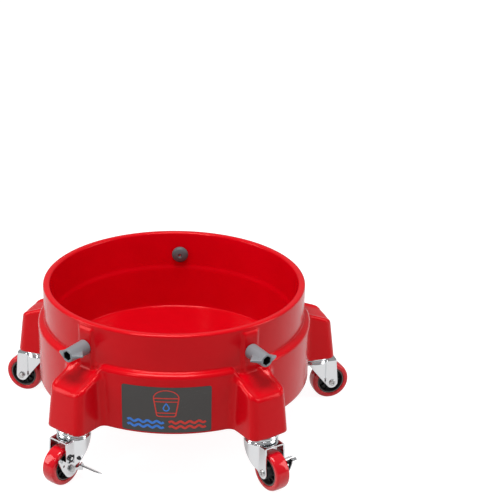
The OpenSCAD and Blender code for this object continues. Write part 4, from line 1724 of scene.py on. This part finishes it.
@dataclass
class Studio:
    """Floor, lights and camera. Lengths in metres, angles in degrees."""

    ground: float = -0.0888
    floor_size: float = 9.0
    glow: float = 0.32
    glow_seen: float = 0.6
    glow_in_gloss: float = 0.22
    sky: float = 0.42
    sky_seen: float = 1.3
    azimuth: float = 3.06
    elevation: float = 27.34
    distance: float = 1.8104
    lens: float = 100.95
    shift: tuple[float, float] = (0.1498, 0.2399)
    lights: tuple[Softbox, ...] = field(default_factory=lambda: (
        Softbox("overhead_softbox", (-0.1, -0.4, 1.9), (1.0, 0.7), 36.0),
        Softbox("front_strip", (-0.9, -1.5, 1.5), (0.16, 1.1), 7.0),
        Softbox("left_softbox", (-1.8, -0.35, 0.75), (0.7, 1.3), 13.0),
        Softbox("right_softbox", (1.8, -0.25, 0.75), (0.7, 1.3), 11.0),
    ))

    def build(self) -> None:
        """Builds the whole studio."""
        self.build_floor()
        for light in self.lights:
            light.hang()
        self.build_sky()
        self.build_camera()
        view = bpy.context.scene.view_settings
        view.view_transform = "Standard"
        view.look = "None"

    def build_floor(self) -> None:
        """The plain white floor."""
        half = self.floor_size
        corners = [(-half, -half), (half, -half), (half, half), (-half, half)]
        mesh = bpy.data.meshes.new("studio_floor")
        mesh.from_pydata([(x, y, self.ground) for x, y in corners], [], [(0, 1, 2, 3)])
        material = bpy.data.materials.new("studio_white")
        material.use_nodes = True
        skin = material.node_tree.nodes["Principled BSDF"]
        skin.inputs["Base Color"].default_value = rgba(0.3, 0.3, 0.3)
        skin.inputs["Roughness"].default_value = 0.8
        skin.inputs["Specular IOR Level"].default_value = 0.0
        skin.inputs["Emission Color"].default_value = rgba(1.0, 1.0, 1.0)
        sheet = NodeSheet(material.node_tree)
        ray = sheet.add("ShaderNodeLightPath")
        seen = sheet.math("MULTIPLY_ADD", ray.outputs["Is Camera Ray"], self.glow_seen, self.glow)
        glow = sheet.math("MULTIPLY_ADD", ray.outputs["Is Glossy Ray"], self.glow_in_gloss, seen)
        sheet.join(glow, skin.inputs["Emission Strength"])
        clear, mix = sheet.add("ShaderNodeBsdfTransparent"), sheet.add("ShaderNodeMixShader")
        sheet.join(sheet.add("ShaderNodeNewGeometry").outputs["Backfacing"], mix.inputs[0])
        sheet.join(skin.outputs[0], mix.inputs[1])
        sheet.join(clear.outputs[0], mix.inputs[2])
        sheet.join(mix.outputs[0], material.node_tree.nodes["Material Output"].inputs["Surface"])
        mesh.materials.append(material)
        floor = bpy.data.objects.new("studio_floor", mesh)
        bpy.context.scene.collection.objects.link(floor)

    def build_sky(self) -> None:
        """Soft light from all round, stronger from above."""
        world = bpy.data.worlds.new("studio_sky")
        bpy.context.scene.world = world
        world.use_nodes = True
        sheet = NodeSheet(world.node_tree)
        back = world.node_tree.nodes["Background"]
        where = sheet.add("ShaderNodeTexCoord")
        part = sheet.add("ShaderNodeSeparateXYZ")
        sheet.join(where.outputs["Generated"], part.inputs[0])
        ramp = sheet.add("ShaderNodeValToRGB")
        bands = ramp.color_ramp
        bands.elements[0].position, bands.elements[0].color = 0.0, rgba(0.55, 0.55, 0.56)
        bands.elements[1].position, bands.elements[1].color = 1.0, rgba(0.95, 0.95, 0.96)
        sheet.join(part.outputs["Z"], ramp.inputs[0])
        sheet.join(ramp.outputs[0], back.inputs["Color"])
        ray = sheet.add("ShaderNodeLightPath")
        strength = sheet.math("MULTIPLY_ADD", ray.outputs["Is Camera Ray"], self.sky_seen, self.sky)
        sheet.join(strength, back.inputs["Strength"])

    def build_camera(self) -> None:
        """The camera, aimed at the middle of the skirt's lower edge."""
        data = bpy.data.cameras.new("camera")
        data.lens = self.lens
        data.sensor_width = 36.0
        data.shift_x, data.shift_y = self.shift
        data.clip_end = 50.0
        camera = bpy.data.objects.new("camera", data)
        bpy.context.scene.collection.objects.link(camera)
        a, e = math.radians(self.azimuth), math.radians(self.elevation)
        back = Vector((math.sin(a) * math.cos(e), -math.cos(a) * math.cos(e), math.sin(e)))
        camera.location = Vector((0, 0, -FLOOR_RISE * MM)) + back * self.distance
        camera.rotation_mode = "QUATERNION"
        camera.rotation_quaternion = back.to_track_quat("Z", "Y")
        bpy.context.scene.camera = camera


CLAMPS = (
    (1, 1, Screw.DONE_UP, 7.0),
    (2, 2, Screw.DONE_UP, -6.0),
    (3, 4, Screw.UNDONE, 0.0),
)


def main() -> None:
    """Builds the bucket base and its studio."""
    logging.basicConfig(level=logging.INFO, format="%(name)s: %(message)s")
    shop = Workshop()
    Studio().build()
    Tray().build(shop)
    Label().build(shop)
    shop.dress_node("stem_sockets", Finishes.steel)
    for number, leg, screw, turn in CLAMPS:
        ClampScrew(number, leg, screw, turn).build(shop)
    for number in range(1, LEG_COUNT + 1):
        Caster(number, number in (1, 2)).build(shop)
    for number, leg in ((1, 1), (2, 2)):
        Brake(number, leg).build(shop)
    LOG.info("sizes written")


if __name__ == "__main__":
    main()
